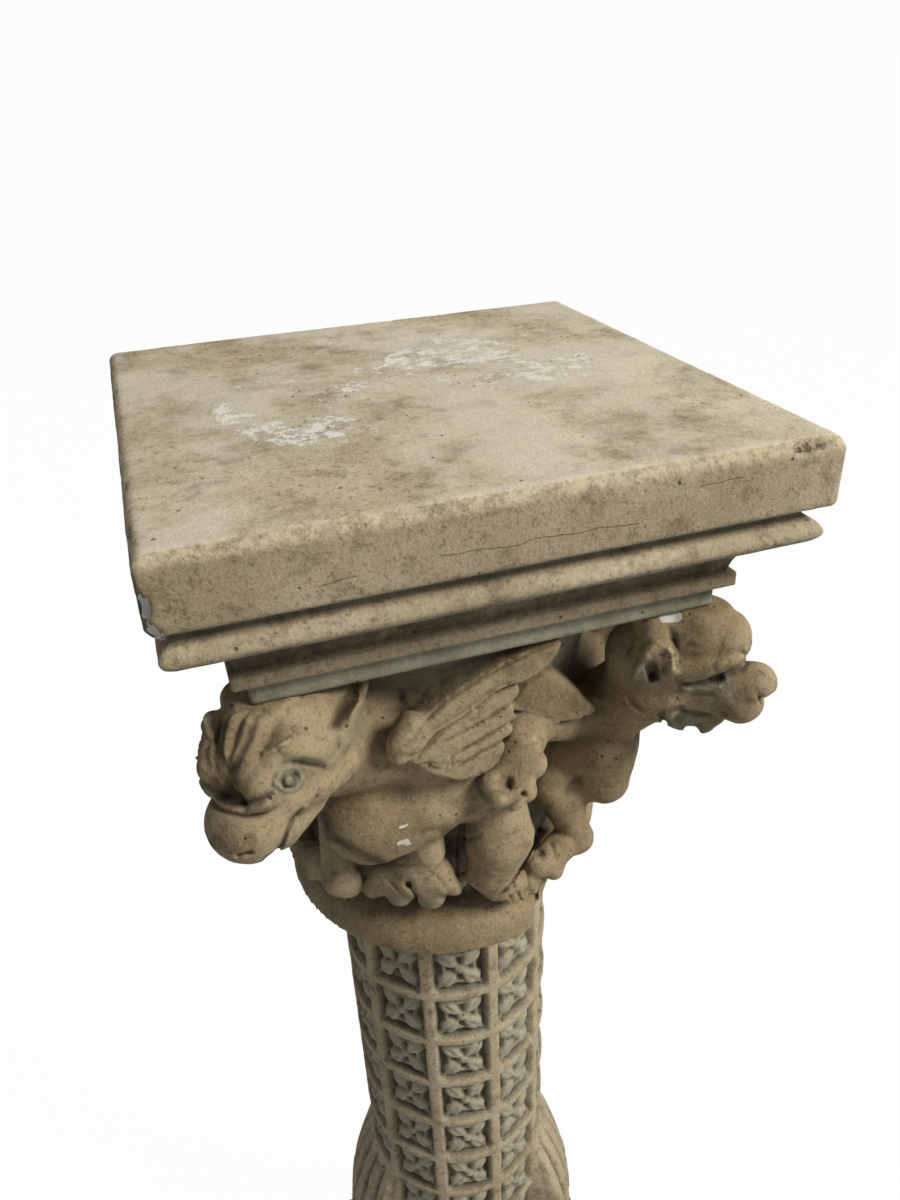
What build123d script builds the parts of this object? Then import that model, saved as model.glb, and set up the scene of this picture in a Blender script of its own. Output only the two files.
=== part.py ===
"""A carved pedestal column of cast stucco, one solid.

A square moulded slab rests on a round capital where four winged beasts crouch, one at each corner,
over a round shaft carved with square panels of four-pointed flowers. The foot swells out at two
flanks and stands on a plain roll, a round drum and a square plinth. Millimetres, Z up, the origin
is at the middle of the plinth's underside and the front looks towards -Y.
"""
import os
from math import acos, cos, degrees, pi, radians, sin

from build123d import *

os.makedirs("parts", exist_ok=True)

# Slab and its mouldings, from the top down, all square in plan and set back from the slab's side
slab_width = 320.0
slab_height = 36.0
slab_top_round = 7.0
slab_bottom_round = 2.5
groove_setback = 11.0
groove_height = 6.0
roll_setback = 3.0
roll_height = 16.0
cove_setback = 16.0
cove_height = 22.0
cove_depth = 4.0
fillet_setback = 29.5
fillet_height = 7.0
fascia_setback = 37.2
fascia_height = 14.0

# Capital: a round bell with a neck ring at its foot
bell_height = 205.0
bell_top_radius = 112.0
bell_waist_radius = 86.0
bell_foot_radius = 80.0
ring_radius = 105.5
ring_height = 26.0
ring_shoulder = 14.0
ring_undercut = 3.5
ring_trim_turn = -23.5
ring_trim_distance = 67.8
apron_radius = 86.0
apron_height = 66.0
apron_curve_height = 44.0
apron_curve_share = 1 / 3

# Shaft and its panels
shaft_top_radius = 76.0
shaft_foot_radius = 74.4
collar_height = 32.0
panel_columns = 10
panel_rows = 6
panel_pitch = 49.3
rib_turn = -46.0
rib_width = 9.5
panel_depth = 6.0
petals = 4
petal_reach = 24.0
flower_waist = 8.0
flower_height = 6.0
flower_root = 1.0

# Foot: swellings at two flanks, with more panels between them
foot_rows = 3
foot_margin = 46.0
flank_columns = 2
swell_radius = 103.0
swell_drop = 110.0
swell_return_radius = 96.0
flute_width = 4.0
flute_depth = 8.0
flutes_per_flank = 5
base_roll_radius = 116.0
base_roll_height = 40.0
drum_radius = 104.0
drum_height = 46.3
plinth_ledge = 10.0
plinth_width = 2 * (drum_radius + plinth_ledge)
plinth_height = 60.0
plinth_chamfer = 4.0

# Beasts
first_corner_turn = -135.0
limb_sides = 6
small_limb_sides = 5
small_limb_radius = 14.0
end_share = 0.55
end_reach = 0.72
wing_face = 118.0
wing_depth = 40.0
rear_wing_face = 98.0
rear_wing_depth = 26.0

# How many flats go round the bell, and how many straight bands stand for each turned curve
bell_sides = 20
ring_bands = 2
roll_bands = 2
apron_bands = 2
swell_bands = 3

# Levels above the floor
drum_level = plinth_height
base_roll_level = drum_level + drum_height
foot_level = base_roll_level + base_roll_height
panel_level = foot_level + foot_margin + foot_rows * panel_pitch
collar_level = panel_level + panel_rows * panel_pitch
ring_level = collar_level + collar_height
bell_level = ring_level + ring_height
fascia_level = bell_level + bell_height
fillet_level = fascia_level + fascia_height
cove_level = fillet_level + fillet_height
roll_level = cove_level + cove_height
groove_level = roll_level + roll_height
slab_level = groove_level + groove_height
top_level = slab_level + slab_height

core_radius = shaft_foot_radius - 2 * panel_depth
slab_half = slab_width / 2
groove_half = slab_half - groove_setback
cove_half = slab_half - cove_setback
fillet_half = slab_half - fillet_setback
fascia_half = slab_half - fascia_setback
trim_arc = 2 * degrees(acos(ring_trim_distance / ring_radius))
panel_turn = 360.0 / panel_columns
panel_height = panel_pitch - rib_width
panel_width = 2 * pi * shaft_foot_radius / panel_columns - rib_width


def upright(turn):
    """The plane through the axis that looks out at this turn, with its own Y along the axis."""
    out = Vector(cos(radians(turn)), sin(radians(turn)), 0)
    return Plane(origin=(0, 0, 0), x_dir=out, z_dir=out.cross(Vector(0, 0, 1)))


def banded(curve, bands):
    """The curve as straight runs between points on it, which keeps the turned faces few."""
    return Polyline(*[curve @ (step / bands) for step in range(bands + 1)])


def stand(out, turn, drop):
    """A place on a beast: out from the bell's foot, turned from its corner, down from the fascia."""
    radius = bell_foot_radius + out
    return Vector(radius * cos(radians(turn)), radius * sin(radians(turn)), fascia_level - drop)


def faceted(sections, along, sides):
    """A closed form of flat faces through (place, radius) sections, all square to one direction."""
    rings = []
    for place, radius in sections:
        plane = Plane(origin=place, z_dir=along)
        angles = [2 * pi * step / sides for step in range(sides)]
        rings.append([plane.from_local_coords((radius * cos(a), radius * sin(a), 0)) for a in angles])
    faces = [Face(Wire.make_polygon(rings[0])), Face(Wire.make_polygon(rings[-1]))]
    for low, high in zip(rings, rings[1:]):
        for step in range(sides):
            after = (step + 1) % sides
            faces.append(Face(Wire.make_polygon([low[step], low[after], high[after], high[step]])))
    return Solid(Shell(faces))


def limb(*stations):
    """A faceted round form through (place, radius) stations, its sections all square to its length.

    A large one has rounded ends, and a small one is cut off flat just past them.
    """
    start, start_radius = stations[0]
    end, end_radius = stations[-1]
    along = (end - start).normalized()
    sections = [(start + along * (place - start).dot(along), radius) for place, radius in stations]
    sides = limb_sides
    tail_radius = start_radius * end_share
    nose_radius = end_radius * end_share
    if max(radius for place, radius in stations) < small_limb_radius:
        sides = small_limb_sides
        sections = [(place, radius) for place, radius in sections[1:-1]]
        tail_radius = start_radius
        nose_radius = end_radius
    sections.insert(0, (start - along * start_radius * end_reach, tail_radius))
    sections.append((end + along * end_radius * end_reach, nose_radius))
    return faceted(sections, along, sides)


def blade(outline, face, depth):
    """A flat wing whose outline is (across, drop) points, from its outer face towards the axis."""
    points = [(across, fascia_level - drop) for across, drop in outline]
    with BuildPart() as form:
        with BuildSketch(Plane(origin=(0, -face, 0), x_dir=(1, 0, 0), z_dir=(0, -1, 0))):
            Polygon(*points, align=None)
        extrude(amount=-depth)
    return form.part


def winged_body():
    """The chest, back, haunch, feet and wings that every beast has, its corner at no turn."""
    forms = [
        limb((stand(20, 8, 121), 29), (stand(12, 26, 109), 26)),
        limb((stand(8, 27, 72), 26), (stand(6, 46, 119), 23)),
        limb((stand(14, 52, 142), 17), (stand(18, 50, 159), 21), (stand(18, 47, 177), 18)),
        limb((stand(19, 47, 188), 9), (stand(18, 62, 194), 7)),
        limb((stand(18, 20, 150), 14), (stand(16, 21, 188), 9)),
        limb((stand(22, 15, 192), 8), (stand(20, 27, 194), 7)),
        limb((stand(16, -8, 140), 13), (stand(18, -11, 178), 10)),
        limb((stand(18, -10, 184), 9), (stand(14, -24, 188), 8)),
        limb((stand(14, 2, 108), 20), (stand(24, -22, 88), 15)),
        limb((stand(24, -22, 88), 15), (stand(34, -38, 96), 13)),
    ]
    wing = blade(
        [(-58, 59), (-49, 63), (-32, 74), (-11, 77), (1, 64), (7, 51), (10, 38), (12, 24),
         (28, 12), (34, 4), (-13, 2), (-40, 17), (-60, 38)],
        wing_face, wing_depth)
    rear_wing = blade([(10, 30), (37, 34), (68, 69), (46, 70), (12, 66)],
                      rear_wing_face, rear_wing_depth)
    return forms + [part.rotate(Axis.Z, -first_corner_turn) for part in (wing, rear_wing)]


def crested_head():
    """A long head with two heavy brows, upright ears and a drooping muzzle."""
    forms = [
        limb((stand(13, 22, 67), 24), (stand(37, 0, 62), 27)),
        limb((stand(46, 0, 48), 25), (stand(88, 0, 28), 26)),
        limb((stand(96, 0, 48), 20), (stand(108, 0, 62), 21)),
        limb((stand(47, 1, 80), 17), (stand(98, 1, 76), 12)),
    ]
    for side in (-1, 1):
        forms += [
            limb((stand(94, side * 5, 12), 15), (stand(106, side * 5, 34), 12)),
            limb((stand(58, side * 10, 38), 10), (stand(50, side * 15, 12), 4)),
        ]
    return forms


def open_mouthed_head():
    """A short head with a domed crown, cupped ears and an open jaw."""
    forms = [
        limb((stand(12, 2, 144), 20), (stand(30, 1, 105), 23), (stand(63, 0, 55), 23)),
        limb((stand(34, 4, 135), 20), (stand(40, -2, 136), 17)),
        limb((stand(72, 0, 42), 22), (stand(100, 0, 22), 18)),
        limb((stand(96, 0, 42), 16), (stand(122, 0, 48), 13)),
        limb((stand(66, 0, 74), 11), (stand(94, 0, 78), 9)),
    ]
    for side in (-1, 1):
        forms += [
            limb((stand(68, side * 6, 55), 12), (stand(78, side * 5, 57), 10)),
            limb((stand(66, side * 5, 26), 8), (stand(72, side * 9, 24), 9)),
        ]
    return forms


# The abacus: one moulded outline run through in both directions, so that its corners mitre
with BuildPart() as abacus:
    for plane, mode in ((Plane.XZ, Mode.ADD), (Plane.YZ, Mode.INTERSECT)):
        with BuildSketch(plane):
            with BuildLine():
                top_side = Line((0, top_level), (slab_half - slab_top_round, top_level))
                top_round = RadiusArc(
                    top_side @ 1, (slab_half, top_level - slab_top_round), slab_top_round)
                edge_side = Line(top_round @ 1, (slab_half, slab_level + slab_bottom_round))
                bottom_round = RadiusArc(
                    edge_side @ 1, (slab_half - slab_bottom_round, slab_level), slab_bottom_round)
                groove_side = Polyline(
                    bottom_round @ 1,
                    (groove_half, slab_level),
                    (groove_half, groove_level),
                )
                roll = ThreePointArc(
                    groove_side @ 1,
                    (slab_half - roll_setback, roll_level + roll_height / 2),
                    (groove_half, roll_level),
                )
                soffit = Line(roll @ 1, (cove_half, roll_level))
                cove = ThreePointArc(
                    soffit @ 1,
                    ((cove_half + fillet_half) / 2 - cove_depth, cove_level + cove_height / 2),
                    (fillet_half - cove_depth, cove_level),
                )
                Polyline(
                    cove @ 1,
                    (fillet_half, cove_level),
                    (fillet_half, fillet_level),
                    (fascia_half, fillet_level),
                    (fascia_half, fascia_level),
                    (0, fascia_level),
                    (0, top_level),
                )
            make_face()
            mirror(about=Plane.YZ)
        extrude(amount=slab_width, both=True, mode=mode)

# The neck ring, half round outside and flat below, trimmed flush with the shaft at one flank
with BuildPart() as neck_ring:
    with BuildSketch(Plane.XZ):
        with BuildLine():
            Polyline(
                (bell_foot_radius + ring_shoulder, bell_level),
                (core_radius, bell_level),
                (core_radius, ring_level),
                (ring_radius - ring_undercut, ring_level),
            )
            banded(
                ThreePointArc(
                    (ring_radius - ring_undercut, ring_level),
                    (ring_radius, ring_level + ring_height / 2),
                    (bell_foot_radius + ring_shoulder, bell_level),
                    mode=Mode.PRIVATE,
                ),
                ring_bands,
            )
        make_face()
    revolve(axis=Axis.Z)
    trim_place = Vector(ring_trim_distance + ring_radius, 0, ring_level + ring_height / 2)
    with Locations(Location((0, 0, 0), (0, 0, ring_trim_turn))):
        with Locations(trim_place):
            Box(2 * ring_radius, 2 * ring_radius, 2 * ring_height, mode=Mode.SUBTRACT)

# A flower: a star of four petals that rises from the panel's floor to one point
star_reaches = [flower_waist, petal_reach] * petals
star_step = pi / petals
star_rim = [Vector(-flower_root, reach * cos(step * star_step), reach * sin(step * star_step))
            for step, reach in enumerate(star_reaches)]
star_peak = Vector(flower_height, 0, 0)
star_sides = [Face(Wire.make_polygon([star_rim[step - 1], star_rim[step], star_peak]))
              for step in range(len(star_rim))]
flower = Solid(Shell([Face(Wire.make_polygon(star_rim))] + star_sides))

# The bell is faceted as the beasts are, so that its cuts with them are straight
bell = faceted(
    [
        (Vector(0, 0, ring_level), bell_foot_radius),
        (Vector(0, 0, bell_level), bell_foot_radius),
        (Vector(0, 0, bell_level + bell_height / 2), bell_waist_radius),
        (Vector(0, 0, fillet_level), bell_top_radius),
    ],
    Vector(0, 0, 1),
    bell_sides,
)

# The shaft and the foot as turned forms
with BuildPart() as column:
    with BuildSketch(Plane.XZ):
        with BuildLine():
            Polyline(
                (core_radius, bell_level),
                (0, bell_level),
                (0, plinth_height / 2),
                (drum_radius, plinth_height / 2),
                (drum_radius, base_roll_level),
            )
            base_roll = banded(
                ThreePointArc(
                    (drum_radius, base_roll_level),
                    (base_roll_radius, base_roll_level + base_roll_height / 2),
                    (drum_radius, foot_level),
                    mode=Mode.PRIVATE,
                ),
                roll_bands,
            )
            Polyline(
                base_roll @ 1,
                (shaft_foot_radius, foot_level),
                (shaft_foot_radius, panel_level),
                (shaft_top_radius, ring_level),
                (shaft_top_radius, bell_level),
                (core_radius, bell_level),
            )
        make_face()
    revolve(axis=Axis.Z)
    with Locations((0, 0, plinth_height / 2)):
        Box(plinth_width, plinth_width, plinth_height)
    plinth_rims = column.faces().filter_by(Axis.Z).sort_by(Axis.Z)[1].outer_wire().edges()
    chamfer(plinth_rims, plinth_chamfer)

    # Panels all round the shaft, and more below them at the front and the back
    shaft_levels = [panel_level + (row + 0.5) * panel_pitch for row in range(panel_rows)]
    foot_levels = [panel_level - (row + 0.5) * panel_pitch for row in range(foot_rows)]
    shaft_turns = [rib_turn + (step + 0.5) * panel_turn for step in range(panel_columns)]
    half_columns = panel_columns // 2
    foot_turns = [turn for step, turn in enumerate(shaft_turns) if step % half_columns >= flank_columns]
    panels = [(turn, level) for turn in shaft_turns for level in shaft_levels]
    panels += [(turn, level) for turn in foot_turns for level in foot_levels]
    floor_radius = shaft_foot_radius - panel_depth
    sunk = [Location((0, 0, level), (0, 0, turn)) * Location((floor_radius + shaft_top_radius, 0, 0))
            for turn, level in panels]
    with Locations(*sunk):
        Box(2 * shaft_top_radius, panel_width, panel_height, mode=Mode.SUBTRACT)
    raised = [Location((0, 0, level), (0, 0, turn)) * Location((floor_radius, 0, 0))
              for turn, level in panels]
    with Locations(*raised):
        add(flower)

    # The bell and its neck ring, and where that is trimmed the bell runs down on to the shaft
    add(bell)
    add(neck_ring.part)
    with BuildSketch(upright(ring_trim_turn - trim_arc / 2)):
        with BuildLine():
            apron_side = Polyline(
                (core_radius, bell_level),
                (apron_radius, bell_level),
                (apron_radius, bell_level - apron_height + apron_curve_height),
            )
            apron_curve = banded(
                ThreePointArc(
                    apron_side @ 1,
                    (apron_radius - (apron_radius - shaft_foot_radius) * apron_curve_share,
                     bell_level - apron_height + apron_curve_height * apron_curve_share),
                    (shaft_foot_radius, bell_level - apron_height),
                    mode=Mode.PRIVATE,
                ),
                apron_bands,
            )
            Polyline(apron_curve @ 1, (core_radius, bell_level - apron_height), apron_side @ 0)
        make_face()
    revolve(axis=Axis.Z, revolution_arc=trim_arc)

    # The swellings of the foot, with upright flutes
    flank_arc = flank_columns * panel_turn
    for flank_start in (rib_turn, rib_turn + 180):
        with BuildSketch(upright(flank_start)):
            with BuildLine():
                swell = banded(
                    Spline(
                        (shaft_foot_radius, panel_level),
                        (swell_radius, panel_level - swell_drop),
                        (swell_return_radius, foot_level),
                        mode=Mode.PRIVATE,
                    ),
                    swell_bands,
                )
                Polyline(swell @ 1, (core_radius, foot_level), (core_radius, panel_level), swell @ 0)
            make_face()
        revolve(axis=Axis.Z, revolution_arc=flank_arc)
        for step in range(flutes_per_flank):
            flute_turn = flank_start + (step + 1) * flank_arc / (flutes_per_flank + 1)
            with BuildSketch(upright(flute_turn)):
                with BuildLine():
                    flute = Polyline(
                        (shaft_foot_radius, panel_level),
                        (swell_radius - flute_depth, panel_level - swell_drop),
                        (swell_return_radius - flute_depth, foot_level),
                    )
                    Polyline(
                        flute @ 1,
                        (2 * swell_radius, foot_level),
                        (2 * swell_radius, panel_level),
                        flute @ 0,
                    )
                make_face()
            extrude(amount=flute_width / 2, both=True, mode=Mode.SUBTRACT)
    add(abacus.part)

crested_beast = winged_body() + crested_head()
open_mouthed_beast = winged_body() + open_mouthed_head()
with BuildPart() as whole:
    add(column.part)
    with PolarLocations(0, 2, start_angle=first_corner_turn):
        add(crested_beast)
    with PolarLocations(0, 2, start_angle=first_corner_turn + 90):
        add(open_mouthed_beast)

whole.part.label = "column"
export_step(whole.part, "parts/column.step")
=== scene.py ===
import math

import bpy
import numpy as np
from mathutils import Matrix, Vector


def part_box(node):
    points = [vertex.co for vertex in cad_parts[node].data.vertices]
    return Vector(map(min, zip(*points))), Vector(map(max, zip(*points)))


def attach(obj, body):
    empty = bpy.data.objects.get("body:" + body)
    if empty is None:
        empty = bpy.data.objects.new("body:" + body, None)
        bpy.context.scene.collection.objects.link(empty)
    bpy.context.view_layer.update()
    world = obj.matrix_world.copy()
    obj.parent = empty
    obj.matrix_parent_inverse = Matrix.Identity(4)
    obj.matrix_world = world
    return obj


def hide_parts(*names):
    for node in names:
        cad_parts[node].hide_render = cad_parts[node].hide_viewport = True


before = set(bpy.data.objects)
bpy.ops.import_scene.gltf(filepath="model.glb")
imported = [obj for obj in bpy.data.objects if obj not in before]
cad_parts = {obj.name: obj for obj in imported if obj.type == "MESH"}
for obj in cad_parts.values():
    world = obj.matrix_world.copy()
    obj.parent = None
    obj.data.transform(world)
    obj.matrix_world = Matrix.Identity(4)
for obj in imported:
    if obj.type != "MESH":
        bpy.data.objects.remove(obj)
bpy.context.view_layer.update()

import openvdb
from mathutils import Matrix, Vector

MM = 0.001
NODE = "column"
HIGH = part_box(NODE)[1]
TOP = HIGH.z / MM

# The column's sizes in millimetres, as in the part's source; a drop is counted from the slab's top
SLAB_HALF, GROOVE_HALF, COVE_HALF, FILLET_HALF, FASCIA_HALF = 160.0, 149.0, 144.0, 130.4, 122.8
SLAB_DROP, GROOVE_DROP, TORUS_DROP, COVE_DROP, FILLET_DROP, FASCIA_DROP = 36.0, 42.0, 58.0, 80.0, 87.0, 101.0
TOP_ROUND, SLAB_FOOT_ROUND = 7.0, 2.5
TORUS_BULGE, COVE_SINK = 8.2, 4.0
BELL_TOP, BELL_WAIST, BELL_FOOT = 112.0, 86.0, 80.0
BELL_DROP = 306.0
RING_DROP = 332.0
COLLAR_DROP = 364.0
PANEL_PITCH = 49.3
PANEL_ROWS = 6
PANEL_COLUMNS = 10
RIB_TURN = -46.0
SHAFT_TOP_RADIUS, SHAFT_FOOT_RADIUS = 76.0, 74.4
PANEL_DROP = COLLAR_DROP + PANEL_ROWS * PANEL_PITCH
PLINTH_HEIGHT = 60.0
PLINTH_HALF = 114.0
DRUM_RADIUS = 104.0
DRUM_HEIGHT = 46.3
ROLL_HEIGHT = 40.0
ROLL_SWELL = 12.0
FOOT_LEVEL = PLINTH_HEIGHT + DRUM_HEIGHT + ROLL_HEIGHT
FOOT_ROWS = 3
PLINTH_CHAMFER = 4.0
WING_FACE, REAR_WING_FACE = 118.0, 99.0
RING_TRIM_TURN, RING_TRIM_REACH = -23.5, 67.8

# The camera, as solved from the photograph
CAMERA_PLACE = np.array([-141.3, -494.8, 155.5])
CAMERA_ROWS = np.array([[0.9461, -0.3217, -0.0383],
                        [-0.1906, -0.4573, -0.8687],
                        [0.2619, 0.8291, -0.4939]])
FOCAL = 950.32
WIDE, TALL = 900.0, 1200.0
FILM = 36.0

# The clay's cells: coarse all round, finer at the front, finest at the two heads that the camera sees
REAR_STEP = 2.1
BODY_STEP = 1.1
HEAD_STEP = 0.9
# How deep a drawn mark reaches into the clay, and how far the pieces of the capital overlap
MARK_REACH = 7.0
OVERLAP = 0.8


# Noise in plain arrays, the same on every run
def lattice(seed, size=32):
    return np.random.RandomState(seed).rand(size, size, size).astype(np.float32)


def noise(p, scale, seed):
    """Smooth noise from 0 to 1 at points p (n, 3), with features about scale across."""
    grid = lattice(seed)
    size = grid.shape[0]
    q = p / scale + 1000.0
    i = np.floor(q).astype(np.int64)
    f = (q - i).astype(np.float32)
    f = f * f * (3 - 2 * f)
    i0 = i % size
    i1 = (i + 1) % size
    out = 0
    for dx, ix in ((0, i0[:, 0]), (1, i1[:, 0])):
        wx = f[:, 0] if dx else 1 - f[:, 0]
        for dy, iy in ((0, i0[:, 1]), (1, i1[:, 1])):
            wy = f[:, 1] if dy else 1 - f[:, 1]
            for dz, iz in ((0, i0[:, 2]), (1, i1[:, 2])):
                wz = f[:, 2] if dz else 1 - f[:, 2]
                out = out + wx * wy * wz * grid[ix, iy, iz]
    return out


def fractal(p, scale, seed, octaves=3):
    total, weight = 0, 0
    for k in range(octaves):
        total = total + noise(p, scale / 2 ** k, seed + k) / 2 ** k
        weight += 1 / 2 ** k
    return total / weight


def smooth(low, high, x):
    t = np.clip((x - low) / (high - low), 0, 1)
    return t * t * (3 - 2 * t)


def blend(a, b, k):
    """The lesser of two distance fields, rounded over k mm where they meet."""
    h = np.maximum(k - np.abs(a - b), 0) / k
    return np.minimum(a, b) - h * h * k / 4


def to_view(x, y, z):
    """The photograph's pixel and the depth in mm of a place given from the slab's top."""
    x, y, z = x - CAMERA_PLACE[0], y - CAMERA_PLACE[1], z - CAMERA_PLACE[2]
    right, down, ahead = [row[0] * x + row[1] * y + row[2] * z for row in CAMERA_ROWS]
    return WIDE / 2 + FOCAL * right / ahead, TALL / 2 + FOCAL * down / ahead, ahead


def ray(pixel):
    local = np.array([(pixel[0] - WIDE / 2) / FOCAL, (pixel[1] - TALL / 2) / FOCAL, 1.0])
    return CAMERA_ROWS.T @ local


def on_face(pixel, face):
    """Where the line of sight through a pixel meets the upright plane y = -face, as (x, z)."""
    along = ray(pixel)
    t = (-face - CAMERA_PLACE[1]) / along[1]
    place = CAMERA_PLACE + along * t
    return place[0], place[2]


def seen(crop, points):
    """Points of an enlarged view, given as its left, top and scale, in the photograph's pixels."""
    left, top, scale = crop
    return [(left + x / scale, top + y / scale) for x, y in points]


# Enlarged views of the photograph on which the carving's lines were drawn: left, top and scale
LEFT_HEAD = (185, 660, 7.127)
RIGHT_HEAD = (560, 580, 6.533)
WING = (370, 620, 6.817)
LOWER = (290, 760, 4.7515)


class Sculpt:
    """A block of clay as a distance field in mm, with coordinates measured from the slab's top."""

    def __init__(self, low, high, step):
        self.low = np.array(low, float)
        self.step = step
        self.shape = tuple(int(round((h - l) / step)) + 1 for l, h in zip(low, high))
        self.d = np.full(self.shape, 30.0, np.float32)
        self.paint = {}

    def cells(self, low, high):
        start = np.clip(np.floor((np.array(low) - self.low) / self.step).astype(int), 0, self.shape)
        stop = np.clip(np.ceil((np.array(high) - self.low) / self.step).astype(int) + 1, 0, self.shape)
        cut = tuple(slice(a, b) for a, b in zip(start, stop))
        axes = []
        for k in range(3):
            line = (self.low[k] + self.step * np.arange(start[k], stop[k])).astype(np.float32)
            shape = [1, 1, 1]
            shape[k] = -1
            axes.append(line.reshape(shape))
        return cut, axes

    def local(self, low, high, turn):
        """The cells of a box after some quarter turns, with their coordinates turned back."""
        corners = []
        for x in (low[0], high[0]):
            for y in (low[1], high[1]):
                for _ in range(turn):
                    x, y = -y, x
                corners.append((x, y))
        corners = np.array(corners)
        cut, (x, y, z) = self.cells((*corners.min(0), low[2]), (*corners.max(0), high[2]))
        for _ in range(turn):
            x, y = y, -x
        return cut, x, y, z

    def join(self, cut, shape, k):
        self.d[cut] = blend(self.d[cut], shape, k)

    def carve(self, cut, shape, k):
        self.d[cut] = -blend(-self.d[cut], shape, k)

    @staticmethod
    def chain_distance(x, y, z, stations):
        """The distance from round rods through stations of (place, radius)."""
        best = None
        for (a, ra), (b, rb) in zip(stations, stations[1:]):
            a, b = np.array(a, float), np.array(b, float)
            run = b - a
            length = float(run @ run)
            t = ((x - a[0]) * run[0] + (y - a[1]) * run[1] + (z - a[2]) * run[2]) / length
            t = np.clip(t, 0, 1)
            d = np.sqrt((x - a[0] - t * run[0]) ** 2 + (y - a[1] - t * run[1]) ** 2
                        + (z - a[2] - t * run[2]) ** 2) - (ra + t * (rb - ra))
            best = d if best is None else np.minimum(best, d)
        return best

    def limb(self, stations, k, turns, cut_away=False):
        """A rounded limb through stations of (place, radius), joined over k mm or cut away."""
        places = np.array([s[0] for s in stations], float)
        radii = np.array([s[1] for s in stations], float)
        pad = k + 4
        low = (places - radii[:, None]).min(0) - pad
        high = (places + radii[:, None]).max(0) + pad
        for turn in turns:
            cut, x, y, z = self.local(low, high, turn)
            d = self.chain_distance(x, y, z, stations)
            if cut_away:
                self.carve(cut, d, k)
            else:
                self.join(cut, d, k)

    def chain(self, place, stations, k, turns):
        """A limb of a head, its stations given as (out, side, z, radius)."""
        self.limb([(place(o, s, z), r) for o, s, z, r in stations], k, turns)

    def pair(self, place, stations, k, turns):
        """The same limb on both sides of a head."""
        for side in (1, -1):
            self.chain(place, [(o, side * s, z, r) for o, s, z, r in stations], k, turns)

    def egg(self, place, radii, out_turn, tilt, k, turns):
        """An ellipsoid with radii along its length, width and height, its length pointing at out_turn."""
        a, b = math.radians(out_turn), math.radians(tilt)
        length = np.array([math.cos(a) * math.cos(b), math.sin(a) * math.cos(b), math.sin(b)])
        width = np.array([-math.sin(a), math.cos(a), 0])
        height = np.cross(length, width)
        reach = max(radii) + k + 4
        place = np.array(place, float)
        for turn in turns:
            cut, x, y, z = self.local(place - reach, place + reach, turn)
            dx, dy, dz = x - place[0], y - place[1], z - place[2]
            u = [(dx * axis[0] + dy * axis[1] + dz * axis[2]) for axis in (length, width, height)]
            near = np.sqrt(sum((c / r) ** 2 for c, r in zip(u, radii)))
            slope = np.sqrt(sum((c / r ** 2) ** 2 for c, r in zip(u, radii)))
            self.join(cut, near * (near - 1) / np.maximum(slope, 1e-6), k)

    def plate(self, outline, face, depth, k, turns, rounding):
        """A flat plate on the upright plane y = -face, with an outline of (x, z) points."""
        outline = np.array(outline, float)
        pad = k + 6
        low = (outline[:, 0].min() - pad, -face - pad - 6, outline[:, 1].min() - pad)
        high = (outline[:, 0].max() + pad, -face + depth + pad, outline[:, 1].max() + pad)
        for turn in turns:
            cut, x, y, z = self.local(low, high, turn)
            flat = polygon_distance(x, z, outline)
            slab = np.abs(y - (depth / 2 - face)) - depth / 2
            a, b = flat + rounding, slab + rounding
            corner = np.sqrt(np.maximum(a, 0) ** 2 + np.maximum(b, 0) ** 2)
            self.join(cut, np.minimum(np.maximum(a, b), 0) + corner - rounding, k)

    def mark(self, points, width, low, high, turns, mirror, sharp, depth=0.0, coat=None, strength=0.0):
        """Works along a line, drawn as the camera sees it, within a box.

        A positive depth presses the clay in, a negative one raises it, and a coat is painted on it.
        """
        points = np.array(points, float)
        for turn in turns:
            cut, x, y, z = self.local(low, high, turn)
            block = self.d[cut]
            near = np.abs(block) < MARK_REACH
            x, y, z = [np.broadcast_to(c, near.shape)[near] for c in (x, y, z)]
            edge = self.fade(x, y, z, low, high)
            if mirror is not None:
                c, s = math.cos(math.radians(mirror)), math.sin(math.radians(mirror))
                side = -s * x + c * y
                flip = np.maximum(side * MIRROR_SIDE[mirror], 0) * MIRROR_SIDE[mirror]
                x, y = x + 2 * s * flip, y - 2 * c * flip
            px, py, ahead = to_view(x, y, z)
            d, t = path_distance(px, py, points)
            d = d * ahead / FOCAL
            q = np.clip(1 - (d / width) ** 2, 0, 1) ** sharp
            if depth > 0 and len(points) > 2:
                q = q * np.clip(4 * t * (1 - t), 0, 1) ** 0.6
            if coat is None:
                block[near] += depth * q * edge
            else:
                layer = self.paint.setdefault(coat, np.zeros(self.shape, np.float32))[cut]
                layer[near] = np.maximum(layer[near], strength * q * edge)

    @staticmethod
    def fade(x, y, z, low, high):
        """1 well inside a box, falling to 0 at its sides."""
        soft = 4.0
        edge = 1.0
        for c, l, h in zip((x, y, z), low, high):
            edge = edge * np.clip((c - l) / soft, 0, 1) * np.clip((h - c) / soft, 0, 1)
        return edge


# The side of each head's own middle plane that the camera doesn't see
MIRROR_SIDE = {-135.0: -1.0, -45.0: 1.0}


def path_distance(px, py, points):
    """The distance in pixels from a drawn path, and how far along it."""
    if len(points) == 1:
        return np.sqrt((px - points[0][0]) ** 2 + (py - points[0][1]) ** 2), 0.5
    lengths = np.sqrt(((points[1:] - points[:-1]) ** 2).sum(1))
    total = lengths.sum()
    best, along, done = None, None, 0.0
    for a, b, length in zip(points, points[1:], lengths):
        run = (b - a) / max(length, 1e-9)
        t = np.clip((px - a[0]) * run[0] + (py - a[1]) * run[1], 0, length)
        d = np.sqrt((px - a[0] - t * run[0]) ** 2 + (py - a[1] - t * run[1]) ** 2)
        here = (done + t) / total
        if best is None:
            best, along = d, here
        else:
            along = np.where(d < best, here, along)
            best = np.minimum(best, d)
        done += length
    return best, along


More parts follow.
